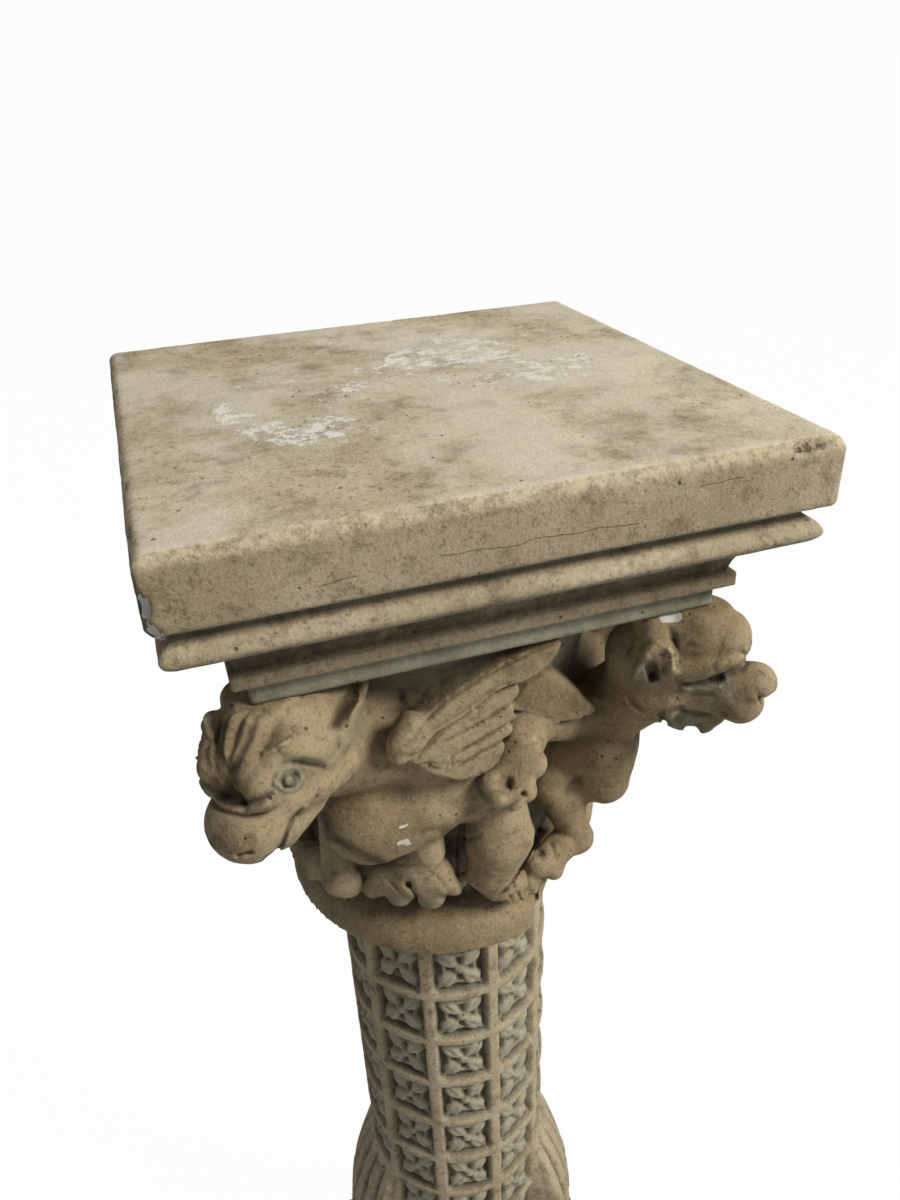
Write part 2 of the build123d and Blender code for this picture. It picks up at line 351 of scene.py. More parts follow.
def polygon_distance(x, z, outline):
    """The distance from a closed outline, less than nothing inside it."""
    inside = np.zeros(np.broadcast(x, z).shape, bool)
    best = None
    for a, b in zip(outline, np.roll(outline, -1, axis=0)):
        run = b - a
        t = np.clip(((x - a[0]) * run[0] + (z - a[1]) * run[1]) / max(float(run @ run), 1e-9), 0, 1)
        d = np.sqrt((x - a[0] - t * run[0]) ** 2 + (z - a[1] - t * run[1]) ** 2)
        best = d if best is None else np.minimum(best, d)
        cross = (a[1] > z) != (b[1] > z)
        with np.errstate(divide="ignore", invalid="ignore"):
            at = (b[0] - a[0]) * (z - a[1]) / (b[1] - a[1] if b[1] != a[1] else 1e-9) + a[0]
        inside ^= cross & (x < at)
    return np.where(inside, -best, best)


def diagonal(turn):
    """Turns (out, side, drop) of a head into a place; side is towards the side that the camera sees."""
    a = math.radians(turn)
    out = np.array([math.cos(a), math.sin(a)])
    side = np.array([-out[1], out[0]])
    side = side * -MIRROR_SIDE[turn]

    def place(o, s, z):
        return (o * out[0] + s * side[0], o * out[1] + s * side[1], z)

    return place


# Places on the left head's and the right head's middle planes
A = diagonal(-135.0)
B = diagonal(-45.0)
# Quarter turns at which a form stands: a head repeats at the far corner, a body at all four
OPPOSITE = (0, 2)
ALL = (0, 1, 2, 3)


def carve_bodies(clay):
    """The body that all four beasts share, laid out on the front-left one."""
    # chest, back and rump
    clay.limb([((-64, -80, -221), 28), ((-36, -88, -212), 26)], 10, ALL)
    clay.limb([((-27, -84, -173), 26), ((1, -86, -214), 23)], 12, ALL)
    clay.egg((-60, -82, -216), (33, 27, 29), -150, 10, 10, ALL)
    # haunch and the clawed hind foot
    clay.limb([((9, -92, -234), 19), ((9, -97, -252), 21.5), ((4, -99, -270), 17)], 4, ALL)
    clay.limb([((0, -100, -272), 13), ((5, -101, -284), 10)], 3, ALL)
    clay.limb([((8, -100, -287), 9), ((26, -97, -292), 8)], 3, ALL)
    for x, y, z in ((13, -105, -295), (20, -104, -296), (29, -101, -297), (36, -96, -296)):
        clay.limb([((x, y + 3, z + 4), 5), ((x, y, z), 4)], 2, ALL)
    # short foreleg and its wide flat paw on the ring
    clay.limb([((-37, -90, -232), 12), ((-36, -92, -250), 11.5), ((-41, -90, -262), 11)], 4, ALL)
    clay.limb([((-60, -78, -276), 9), ((-46, -86, -272), 12), ((-30, -92, -272), 11.5)], 3, ALL)
    for toe, radius in (((-67, -78, -283), 6.5), ((-52, -85, -286), 8), ((-34, -91, -288), 9),
                        ((-21, -95, -279), 8)):
        clay.limb([((-42, -89, -264), 10), (toe, radius)], 4, ALL)
    # far foreleg and its paw
    clay.limb([((-80, -50, -238), 11), ((-83, -60, -260), 10.5), ((-85, -66, -280), 11)], 5, ALL)
    clay.limb([((-97, -34, -283), 8), ((-90, -52, -280), 10), ((-80, -68, -283), 9.5)], 3, ALL)
    clay.limb([((-88, -52, -280), 8), ((-98, -44, -289), 6.5)], 2.5, ALL)
    # the deep gap behind each jaw
    x, z = on_face((372, 733), 103)
    clay.limb([((x - 2, -103, z + 6), 7), ((x + 2, -103, z - 8), 8)], 4, ALL, cut_away=True)
    # the raised forepaw that rests on the next beast's rump
    clay.limb([((58, -76, -186), 17), ((40, -85, -178), 14.5), ((22, -98, -174), 14)], 6, ALL)
    clay.limb([((20, -103, -176), 14.5), ((11, -107, -188), 13.5)], 4, ALL)
    for place, radius in (((-2, -115, -190), 7), ((1, -115, -200), 7.5), ((10, -115, -206), 7),
                          ((19, -112, -205), 7), ((26, -105, -193), 9)):
        clay.limb([((14, -106, -188), 9), (place, radius)], 2.5, ALL)


def carve_wings(clay):
    """The two wings over each body, flat plates with a broad top face and stepped feathers."""
    def plate(points, face, proud, depth, k, rounding):
        outline = [on_face(p, face) for p in seen(WING, points)]
        clay.plate(outline, face + proud, depth, k, ALL, rounding)

    plate([(235, 840), (330, 700), (470, 578), (600, 478), (760, 376), (900, 299), (1080, 216), (1290, 125),
           (1265, 200), (1210, 285), (1130, 345), (1040, 395), (1000, 440), (990, 520), (965, 620),
           (960, 740), (900, 860), (860, 950), (760, 1030), (640, 1080), (480, 1080), (340, 1000)],
          WING_FACE, 0, 25, 4, 1.0)
    feathers = [
        ([(300, 960), (480, 760), (700, 600), (860, 500), (960, 440), (995, 425), (1008, 465), (985, 520),
          (940, 560), (820, 660), (650, 765), (480, 900)], 2.6),
        ([(300, 960), (480, 820), (650, 700), (820, 620), (940, 550), (972, 575), (972, 640), (930, 700),
          (820, 770), (700, 840), (520, 940)], 2.4),
        ([(400, 980), (560, 860), (700, 790), (830, 720), (930, 690), (968, 705), (966, 745), (930, 790),
          (840, 850), (700, 930), (540, 1010)], 2.2),
        ([(420, 1040), (600, 900), (760, 840), (880, 800), (912, 835), (908, 880), (870, 960), (800, 1020),
          (700, 1070), (600, 1085)], 2.0),
    ]
    for points, proud in feathers:
        plate(points, WING_FACE, proud, 16, 2.0, 1.0)
    # the smooth band under the crisp ridge of the top face
    plate([(235, 850), (330, 705), (470, 582), (600, 482), (760, 380), (900, 303), (1080, 220), (1288, 128),
           (1262, 195), (1200, 280), (1120, 345), (1010, 400), (940, 415), (860, 450), (720, 556), (600, 645),
           (430, 745), (320, 880)], WING_FACE, 4.4, 22, 0.8, 0.9)
    # the drooping round end of the leading edge
    end = []
    for pixel, radius in (((200, 930), 5.2), ((196, 860), 5.8), ((222, 780), 6), ((270, 700), 5.5)):
        x, z = on_face(seen(WING, [pixel])[0], WING_FACE)
        end.append(((x, 1.5 - WING_FACE, z), radius))
    clay.limb(end, 7, ALL)
    # the further wing, behind the first
    plate([(940, 540), (1060, 420), (1180, 350), (1275, 372), (1400, 470), (1535, 595), (1500, 640),
           (1330, 655), (1290, 690), (1120, 715), (950, 690)], REAR_WING_FACE, 0, 24, 2, 1.5)
    plate([(960, 560), (1060, 430), (1180, 358), (1275, 380), (1400, 478), (1528, 600), (1490, 636),
           (1330, 640), (1110, 590)], REAR_WING_FACE, 3.0, 20, 2, 1.5)
    for points in ([(960, 585), (1110, 618), (1330, 668), (1430, 655)],
                   [(950, 672), (1120, 702), (1270, 692)]):
        stations = []
        for pixel in seen(WING, points):
            x, z = on_face(pixel, REAR_WING_FACE + 2)
            stations.append(((x, -REAR_WING_FACE - 0.5, z), 2.6))
        clay.limb(stations, 1.2, ALL)


def carve_crested(clay):
    """The front-left head: two long ridges over the nose, knobbed brows, a drooping muzzle, upright ears."""
    t = OPPOSITE
    clay.limb([((-39, -87, -168), 24), ((-83, -83, -165), 27)], 10, t)
    clay.chain(A, [(100, 0, -150, 28), (134, 0, -146, 25), (156, 0, -136, 23), (172, 0, -138, 20)], 9, t)
    clay.egg(A(148, 0, -128), (40, 30, 24), -135, 5, 7, t)
    # forehead planes and the roof over each eye
    clay.pair(A, [(132, 13, -122, 15), (150, 12, -117, 14.5), (164, 9, -115, 13)], 4, t)
    clay.pair(A, [(140, 20, -136, 9.5), (152, 19.5, -132, 9.5), (166, 17, -125, 10)], 3, t)
    # cheeks, muzzle and jaw
    clay.pair(A, [(138, 15, -152, 15), (158, 13, -151, 15), (176, 8, -147, 16)], 6, t)
    clay.egg(A(189, 0, -158), (20.5, 21, 19.5), -135, -20, 5, t)
    clay.pair(A, [(134, 5, -160, 15), (158, 6, -163, 15.5), (177, 6, -168, 13.5)], 3.5, t)
    # brow knobs, then the pair of ridges with the deep furrow between them
    clay.pair(A, [(162, 16, -121, 10), (178, 15, -123, 10.5), (188, 13, -130, 10),
                  (189, 12, -138, 8.5)], 2, t)
    clay.pair(A, [(146, 7.5, -98, 8), (162, 7, -101, 7.6), (178, 6, -108, 7.2), (188, 5.4, -118, 6.8),
                  (191.5, 5.2, -128, 6.6)], 1.2, t)
    # ears
    clay.pair(A, [(140, 21, -128, 10), (131, 25, -119, 8), (124, 27, -112, 5.5), (119, 27, -106, 3)], 3, t)
    # mane behind the further brow
    clay.limb([(A(164, -12, -106), 11), (A(156, -14, -92), 9.5), (A(150, -15, -76), 8)], 5, t)


def carve_gaping(clay):
    """The front-right head: a domed crown, cupped ears and an open jaw."""
    t = OPPOSITE
    clay.limb([((61, -69, -245), 20), ((86, -62, -206), 23), ((101, -101, -156), 23)], 10, t)
    clay.limb([((84, -84, -238), 16), ((84, -82, -215), 20)], 8, t)
    clay.egg(B(148, 0, -138), (32, 25, 25), -45, 15, 8, t)
    # crown and brows
    clay.chain(B, [(150, 0, -122, 22), (168, 0, -117, 20), (180, 0, -119, 15)], 5, t)
    clay.pair(B, [(160, 14.5, -134, 10), (176, 12.5, -131, 9.5), (185, 8, -127, 8),
                  (188.5, 5, -124, 6)], 2.5, t)
    # muzzle, cheeks and ears
    clay.chain(B, [(160, 0, -152, 18), (184, 0, -149, 15.5), (197, 0, -145, 12), (201, 0, -143, 10.5)], 5, t)
    clay.chain(B, [(176, 0, -156, 12), (193, 0, -157, 13.5)], 3, t)
    clay.pair(B, [(142, 12, -162, 14), (156, 11, -158, 13)], 4, t)
    clay.pair(B, [(146, 13, -111, 11), (150, 17, -124, 12), (146, 18, -133, 11.5)], 2.5, t)
    # open jaw
    clay.chain(B, [(148, 0, -168, 13), (163, 0, -172, 12.5), (173, 0, -175, 9.5)], 3, t)
    clay.chain(B, [(160, 0, -166, 12), (179, 0, -169, 8.5)], 3, t)


def build_clay(low, high, step):
    """The whole capital as clay, within a box; the bell alone comes back too, for its paint."""
    clay = Sculpt(low, high, step)
    _, (x, y, z) = clay.cells(low, high)
    rho = np.sqrt(x * x + y * y)
    drops = np.array([-400, -345, -BELL_DROP, -255, -203, -150, -FASCIA_DROP, -84.0])
    radii = np.array([66, 70, BELL_FOOT, 82, BELL_WAIST, 96, BELL_TOP, 116])
    bell = (rho - np.interp(z, drops, radii)).astype(np.float32)
    clay.d = np.minimum(clay.d, bell)
    carve_bodies(clay)
    carve_wings(clay)
    carve_crested(clay)
    carve_gaping(clay)
    # the heads are cut flat under the fascia where they stand before its faces
    for turn in ALL:
        cut, cx, cy, cz = clay.local((-128, -170, -112), (170, -112, -60), turn)
        front = np.maximum(np.maximum(cy + 118, -128 - cx), -101.5 - cz)
        clay.carve(cut, front.astype(np.float32), 2.0)
    hidden = np.maximum(np.maximum(np.abs(x) - 117, np.abs(y) - 117), -96 - z)
    clay.d = np.maximum(clay.d, -hidden).astype(np.float32)
    # neck ring, trimmed at one flank, where the bell runs down on to the shaft
    q = ((np.maximum(rho - 80, 0) / 25.5) ** 2.5 + (np.maximum(z + 334, 0) / 28.0) ** 2.5) ** 0.4
    ring = ((q - 1) * 22).astype(np.float32)
    ring = np.maximum(ring, -(z + RING_DROP))
    a = math.radians(RING_TRIM_TURN)
    trim = x * math.cos(a) + y * math.sin(a) - RING_TRIM_REACH
    ring = np.maximum(ring, trim)
    clay.d = blend(clay.d, ring, 3).astype(np.float32)
    apron = rho - np.interp(z, [-400, -372, -350, -328, -306, -280], [66, 74.0, 80.5, 86, 86, 84])
    apron = np.maximum(apron, 4 - trim * 1.5)
    apron = np.maximum(apron, z + 290)
    clay.d = blend(clay.d, apron, 4).astype(np.float32)
    for work in (detail_crested, detail_gaping, detail_bodies, detail_wings):
        work(clay)
    return clay, bell


def pressed(clay, crop, low, high, turns, mirror):
    """Two tools for one part of the carving: one presses or raises drawn lines, the other paints them."""
    def line(points, width, depth, sharp=1.5, mirror=mirror):
        clay.mark(seen(crop, points), width, low, high, turns, mirror, sharp, depth=depth)

    def coat(name, points, width, strength, mirror=mirror, turns=turns):
        clay.mark(seen(crop, points), width, low, high, turns, mirror, 1.0, coat=name, strength=strength)

    return line, coat


def around(x, y, radius):
    """Points of a circle on an enlarged view."""
    turns = np.radians(np.linspace(0, 360, 12))
    return [(x + radius * math.cos(a), y + radius * math.sin(a)) for a in turns]


def detail_crested(clay):
    """The left head's ridges, eye, mouth and ear, with their paint, painted shade in the creases and painted
    highlights on the ridges.
    """
    line, coat = pressed(clay, LEFT_HEAD, (-168, -168, -215), (-40, -60, -84), OPPOSITE, -135.0)
    # the furrow between the ridges, seen past the near one, and the crevices beside them
    line([(300, 380), (250, 520), (222, 660), (228, 760), (262, 840)], 2.2, 1.4, mirror=None)
    line([(500, 385), (480, 470), (455, 560), (400, 660), (365, 740), (335, 810)], 2.4, 1.8)
    line([(640, 590), (540, 640), (440, 690), (380, 760)], 4.0, 1.0)
    line([(785, 545), (700, 590), (620, 640), (560, 668)], 1.7, -1.8)
    line([(720, 610), (600, 700), (500, 800), (440, 910)], 8.0, -2.2, sharp=1.0)
    # nostril, nose and the folds over the muzzle
    line([(305, 880)], 3.2, 3.6)
    line([(215, 915), (300, 960), (380, 1000), (450, 1015)], 2.6, 1.2)
    line([(345, 820), (370, 920), (425, 1012), (520, 1000), (620, 950), (650, 900)], 2.4, 1.7)
    line([(200, 1000), (290, 1045), (400, 1078), (500, 1070), (590, 1035)], 2.2, -1.6)
    line([(230, 1065), (330, 1100), (450, 1118), (560, 1095), (640, 1040)], 2.0, 1.6)
    # eye with its lids and pupil
    line([(738, 846)], 8.5, 2.2, sharp=1.0)
    line([(744, 850)], 6.2, -3.0, sharp=0.7)
    line(around(744, 862, 56), 1.4, 1.3, sharp=1.0)
    line(around(744, 866, 20), 1.1, -0.8, sharp=1.0)
    line([(640, 880), (670, 800), (740, 752), (805, 765), (838, 840)], 1.5, -1.7, sharp=1.0)
    line([(645, 885), (700, 930), (780, 930), (832, 860)], 1.4, -1.4, sharp=1.0)
    line([(690, 722), (790, 718), (880, 733), (1000, 750)], 2.8, 2.2)
    line([(760, 600), (860, 632), (960, 668), (1020, 690)], 7.0, -2.6, sharp=1.0)
    line([(985, 748), (1060, 690), (1095, 610), (1085, 540)], 1.8, 1.3)
    # mouth
    line([(375, 1388), (470, 1368)], 1.8, 2.0)
    line([(555, 1425), (630, 1385), (690, 1310), (730, 1210), (770, 1120), (840, 1050)], 1.8, 1.8)
    # ear
    line([(1210, 215), (1140, 320), (1085, 430)], 4.6, 4.2)
    line([(1262, 190), (1240, 300), (1190, 400), (1160, 490)], 1.8, -1.2)
    for width, strength, points in (
            (8.6, 1.0, [(744, 850)]), (3.6, 0.75, [(650, 900), (620, 940)]),
            (3.4, 0.6, [(700, 722), (800, 715), (900, 735)]),
            (2.4, 0.8, [(768, 552), (700, 592), (640, 622)]),
            (2.8, 0.6, [(1185, 500), (1230, 350)]), (4.5, 0.4, [(1120, 545), (1060, 660)]),
            (3.6, 0.4, [(430, 1055), (520, 1035), (600, 1000)]), (2.4, 0.5, [(720, 1290), (800, 1120)])):
        coat("teal", points, width, strength)
    # Dark coats in the furrows, folds, ear, eye and mouth: dirt with painted shade in the creases
    coat("dirt", [(330, 330), (285, 430), (240, 560), (222, 680), (235, 790)], 2.6, 0.8, mirror=None)
    coat("dirt", [(300, 880), (340, 960), (410, 1000)], 3.0, 0.6)
    coat("dirt", [(470, 480), (450, 570), (390, 690), (345, 800)], 2.2, 0.6)
    coat("dirt", [(1225, 205), (1150, 330), (1085, 450)], 4.6, 1.0)
    coat("dirt", [(345, 820), (370, 920), (425, 1012), (520, 1000), (620, 950)], 1.4, 0.6)
    coat("dirt", [(375, 1388), (470, 1368)], 1.0, 1.0)
    coat("dirt", [(555, 1425), (630, 1385), (690, 1310), (730, 1210), (770, 1120), (840, 1050)], 1.0, 1.0)
    coat("dirt", [(230, 1065), (330, 1100), (450, 1118), (560, 1095)], 1.2, 0.6)
    coat("dirt", [(700, 724), (790, 722), (880, 737), (985, 750)], 1.2, 0.6)
    coat("dirt", around(744, 862, 46), 0.9, 0.8)
    # Light coats on the ridges and the ear's rim: painted highlights with wear
    coat("wear", [(330, 560), (300, 660), (295, 760)], 3.0, 0.5)
    coat("wear", [(700, 700), (600, 780), (520, 900)], 3.0, 0.35)
    coat("wear", [(1240, 300), (1160, 500)], 1.4, 0.8)


def detail_gaping(clay):
    """The right head's ear, brow, eye and open mouth, with their paint, painted shade in the hollows and
    painted highlights on the rims.
    """
    line, coat = pressed(clay, RIGHT_HEAD, (50, -168, -215), (168, -50, -84), OPPOSITE, -45.0)
    # cupped ear
    line([(560, 612), (600, 600), (645, 590)], 5.6, 5.5, sharp=0.9)
    line([(560, 480), (640, 432), (710, 440), (745, 510), (745, 590)], 4.2, -4.0)
    # the rim's light coat: a painted highlight with wear
    coat("wear", [(600, 450), (650, 432), (710, 440), (745, 510), (745, 590)], 3.4, 0.95)
    line([(480, 640), (510, 560), (570, 510)], 2.4, -1.4)
    line([(715, 300), (738, 380), (755, 470), (768, 570), (750, 650)], 2.6, 1.8)
    # brow, its curled end and the eye under it
    line([(740, 650), (870, 690), (960, 660), (1040, 622), (1130, 598), (1215, 575)], 3.2, 2.0)
    line([(962, 660), (1020, 655), (1072, 630)], 3.0, 2.6)
    line([(1040, 560), (1130, 530), (1200, 505)], 3.6, -1.4)
    line([(1170, 465), (1222, 484), (1238, 530), (1208, 570)], 1.4, 1.6, sharp=1.0)
    line([(800, 712), (880, 706), (960, 722), (1040, 700)], 2.0, -1.3)
    line([(830, 745), (920, 755), (1010, 745)], 2.0, 1.0)
    line([(790, 440), (850, 420), (900, 440)], 1.6, 0.8)
    # nostril, notch and lips
    line([(1305, 765), (1320, 805)], 2.4, 2.4)
    line([(1345, 785), (1400, 750)], 2.2, 1.8)
    line([(690, 862), (780, 838), (880, 868), (1000, 878)], 2.2, 2.0)
    line([(655, 880), (690, 925)], 2.6, 2.2)
    line([(800, 905), (880, 955)], 6.0, 3.4)
    line([(1010, 800), (1080, 860)], 3.0, 1.0)
    line([(430, 700), (470, 800), (540, 870)], 2.6, 1.4)
    for width, strength, points in (
            (7.5, 0.9, [(520, 610), (620, 600)]), (4.5, 0.8, [(820, 705), (940, 700), (1080, 620)]),
            (9.0, 0.4, [(1080, 700), (960, 770)]), (9.0, 0.9, [(790, 915), (900, 975)]),
            (3.0, 0.9, [(965, 655), (1070, 625)])):
        coat("teal", points, width, strength)
    # Light coats on the ear's rim and the brow's curl: painted highlights with wear; dark coats in the ear,
    # mouth, eye and nostril: dirt with painted shade
    coat("wear", [(540, 480), (640, 440), (700, 450), (735, 540)], 4.0, 1.0)
    coat("wear", [(1080, 530), (1190, 500)], 3.2, 0.6)
    coat("dirt", [(655, 880), (700, 860), (800, 840)], 2.4, 0.7)
    coat("dirt", [(965, 665), (1060, 630)], 1.8, 0.9)
    coat("dirt", [(600, 560), (665, 590)], 4.0, 0.8)
    coat("dirt", [(1170, 465), (1222, 484), (1238, 530), (1208, 570)], 0.9, 1.0)
    coat("dirt", [(715, 300), (738, 380), (755, 470), (768, 570)], 1.4, 0.7)
    coat("dirt", [(1305, 770), (1322, 805)], 1.4, 0.8)
    coat("dirt", [(740, 650), (870, 690), (960, 660)], 1.4, 0.5)
    coat("white", [(680, 246), (760, 240)], 4.5, 0.9, turns=(0,), mirror=None)


def detail_bodies(clay):
    """Knuckles, claws and the haunch's edge, with their paint, painted shade in the gaps and creases and a
    painted highlight on the haunch's edge.
    """
    line, coat = pressed(clay, WING, (-20, -132, -232), (56, -88, -150), ALL, None)
    # knuckles and claws of the raised paw
    for gap in ([(905, 1050), (880, 1110), (850, 1150)], [(960, 1120), (930, 1190), (900, 1225)],
                [(1050, 1150), (1010, 1210), (970, 1250)]):
        line(gap, 1.9, 1.8)
    line([(950, 1095), (940, 1125)], 3.2, 2.8)
    line([(1050, 1190)], 2.8, 2.2)
    # Dark coats in the knuckles' gaps: dirt with painted shade; the light coat after them: a painted
    # highlight with wear
    coat("dirt", [(950, 1090), (935, 1130)], 3.0, 0.8)
    coat("dirt", [(1050, 1190), (960, 1270)], 2.2, 0.6)
    coat("wear", [(1110, 790), (1160, 880)], 1.8, 0.9)
    line, coat = pressed(clay, LOWER, (-110, -140, -306), (56, -40, -186), ALL, None)
    # paws on the ring
    line([(562, 590)], 3.2, 3.2)
    line([(570, 590), (590, 630), (610, 665)], 1.8, 2.0)
    line([(450, 560), (500, 600), (545, 645)], 1.8, 1.4)
    line([(640, 520), (700, 560), (760, 640)], 1.6, 1.0)
    line([(470, 490), (560, 500), (660, 510)], 1.6, 1.0)
    line([(600, 360), (650, 335), (700, 328)], 2.4, 1.6)
    # haunch with its crisp right edge, the foot and its claws
    line([(1172, 330), (1158, 400), (1112, 490), (1042, 590), (975, 670)], 1.8, 2.4)
    line([(810, 300), (795, 400), (795, 540), (830, 640)], 2.2, 2.2)
    line([(825, 375), (900, 368)], 1.8, 1.0)
    line([(1120, 520), (1132, 600), (1105, 650)], 1.5, 1.5)
    line([(1065, 600)], 2.2, 2.0)
    line([(1040, 640), (1060, 680)], 1.2, 1.2)
    line([(1085, 630), (1095, 675)], 1.2, 1.2)
    line([(1185, 330)], 2.4, 2.0)
    line([(1190, 450)], 4.0, 2.4)
    line([(1240, 400), (1262, 470)], 2.0, 1.6)
    coat("teal", [(600, 610), (660, 600)], 2.4, 0.5)
    coat("teal", [(500, 670), (640, 690), (780, 650)], 3.5, 0.7)
    coat("teal", [(900, 60), (960, 90)], 4.0, 0.5)
    # Dark coats in the creases: dirt with painted shade; the light coat along the haunch's crisp edge: a
    # painted highlight with wear
    coat("dirt", [(740, 320), (760, 430)], 5.0, 0.7)
    coat("dirt", [(160, 260), (190, 360), (300, 420), (430, 480)], 3.4, 0.8)
    coat("wear", [(1160, 340), (1150, 400), (1100, 490), (1030, 590)], 1.1, 0.9)
    coat("white", [(520, 322), (560, 308)], 1.0, 0.9, turns=(0,))
    coat("white", [(512, 398), (556, 382)], 1.7, 1.0, turns=(0,))
    coat("white", [(548, 402), (572, 396)], 1.0, 0.9, turns=(0,))


def detail_wings(clay):
    """The steps and quills between the feathers, with their paint, painted shade under the steps and a
    painted highlight along the leading edge's ridge.
    """
    line, coat = pressed(clay, WING, (-72, -132, -215), (72, -100, -84), ALL, None)
    steps = [[(500, 830), (640, 765), (820, 662), (975, 556), (1040, 510)],
             [(560, 930), (700, 845), (840, 765), (960, 695), (1020, 660)],
             [(600, 1000), (730, 915), (820, 870), (905, 822), (960, 790)]]
    # Each step is pressed and gets a dark coat under it: painted shade with dirt
    for step in steps:
        line(step, 1.3, 1.8, sharp=1.0)
        coat("dirt", step, 0.8, 0.7)
    line([(430, 742), (600, 642), (720, 556), (860, 448), (1000, 405)], 1.1, 0.9, sharp=1.0)
    # Dark coats along that line and the feathers' lower edge: painted shade with dirt
    coat("dirt", [(430, 745), (600, 645), (720, 560), (860, 452), (975, 415)], 0.8, 0.6)
    coat("dirt", [(640, 1090), (760, 1064), (860, 990), (908, 890)], 0.9, 0.7)
    # A light coat along the leading edge's crisp ridge: a painted highlight with wear
    coat("wear", [(225, 850), (330, 705), (470, 580), (600, 480), (760, 380), (900, 302),
                  (1080, 220)], 1.4, 1.0)
    # Dark coats beside the ridge and over the leading edge's top face, under the slab: dirt with painted
    # shade
    coat("dirt", [(290, 830), (380, 700), (600, 520), (900, 335), (1080, 245)], 1.0, 0.4)
    coat("dirt", [(170, 720), (300, 590), (480, 460), (700, 350), (950, 230)], 8.0, 0.6)
    line([(560, 575), (620, 570)], 1.4, 0.6)
    line([(850, 485)], 1.1, 1.2)
    line([(830, 657)], 1.1, 1.2)
    line([(690, 560), (705, 660)], 0.9, -0.7)
    line([(540, 900), (560, 960), (545, 1010)], 1.4, 0.7)
    line([(1300, 400), (1420, 500), (1535, 600)], 1.3, 1.0)
    # Dark coats along the further wing's ridge and, after the teal, its lower feathers: painted shade with
    # dirt
    coat("dirt", [(1290, 385), (1420, 490), (1535, 595), (1500, 635)], 1.1, 0.9)
    coat("teal", [(990, 500), (1010, 560), (1120, 640), (1250, 690)], 5.0, 0.5)
    coat("dirt", [(1100, 590), (1230, 640), (1340, 655)], 0.9, 0.7)


def make_mesh(name, points, faces, values, material):
    """An object of quads, its points in mm, with a value per point for each of the material's attributes."""
    mesh = bpy.data.meshes.new(name)
    faces = np.asarray(faces)
    mesh.vertices.add(len(points))
    mesh.vertices.foreach_set("co", (points * MM).astype(np.float32).ravel())
    mesh.loops.add(faces.size)
    mesh.loops.foreach_set("vertex_index", faces.ravel().astype(np.int32))
    mesh.polygons.add(len(faces))
    width = faces.shape[1]
    mesh.polygons.foreach_set("loop_start", np.arange(len(faces), dtype=np.int32) * width)
    mesh.polygons.foreach_set("use_smooth", np.ones(len(faces), bool))
    mesh.update(calc_edges=True)
    for key, value in values.items():
        layer = mesh.attributes.new(key, "FLOAT", "POINT")
        layer.data.foreach_set("value", np.clip(value, 0, 1).astype(np.float32))
    mesh.materials.append(material)
    thing = bpy.data.objects.new(name, mesh)
    bpy.context.scene.collection.objects.link(thing)
    return thing


def box_blur(field, reach):
    """A running mean over 2 * reach + 1 cells along each axis."""
    out = field
    for axis in range(3):
        size = out.shape[axis]
        before, after = np.take(out, [0] * (reach + 1), axis), np.take(out, [-1] * reach, axis)
        padded = np.concatenate([before, out, after], axis)
        total = np.cumsum(padded, axis, dtype=np.float64)
        upper = np.take(total, np.arange(2 * reach + 1, 2 * reach + 1 + size), axis)
        lower = np.take(total, np.arange(0, size), axis)
        out = ((upper - lower) / (2 * reach + 1)).astype(np.float32)
    return out


def sample(field, cells):
    """Values of a field at places given in cells."""
    limit = np.array(field.shape) - 2
    i = np.clip(np.floor(cells).astype(int), 0, limit)
    f = np.clip(cells - i, 0, 1)
    out = 0
    for dx in (0, 1):
        for dy in (0, 1):
            for dz in (0, 1):
                w = ((f[:, 0] if dx else 1 - f[:, 0]) * (f[:, 1] if dy else 1 - f[:, 1])
                     * (f[:, 2] if dz else 1 - f[:, 2]))
                out = out + w * field[i[:, 0] + dx, i[:, 1] + dy, i[:, 2] + dz]
    return out


def normals_of(points, faces):
    """The normal at each point of a mesh of quads."""
    n = np.cross(points[faces[:, 2]] - points[faces[:, 0]], points[faces[:, 3]] - points[faces[:, 1]])
    total = np.zeros_like(points)
    for k in range(4):
        np.add.at(total, faces[:, k], n)
    return total / np.maximum(np.linalg.norm(total, axis=1, keepdims=True), 1e-9)


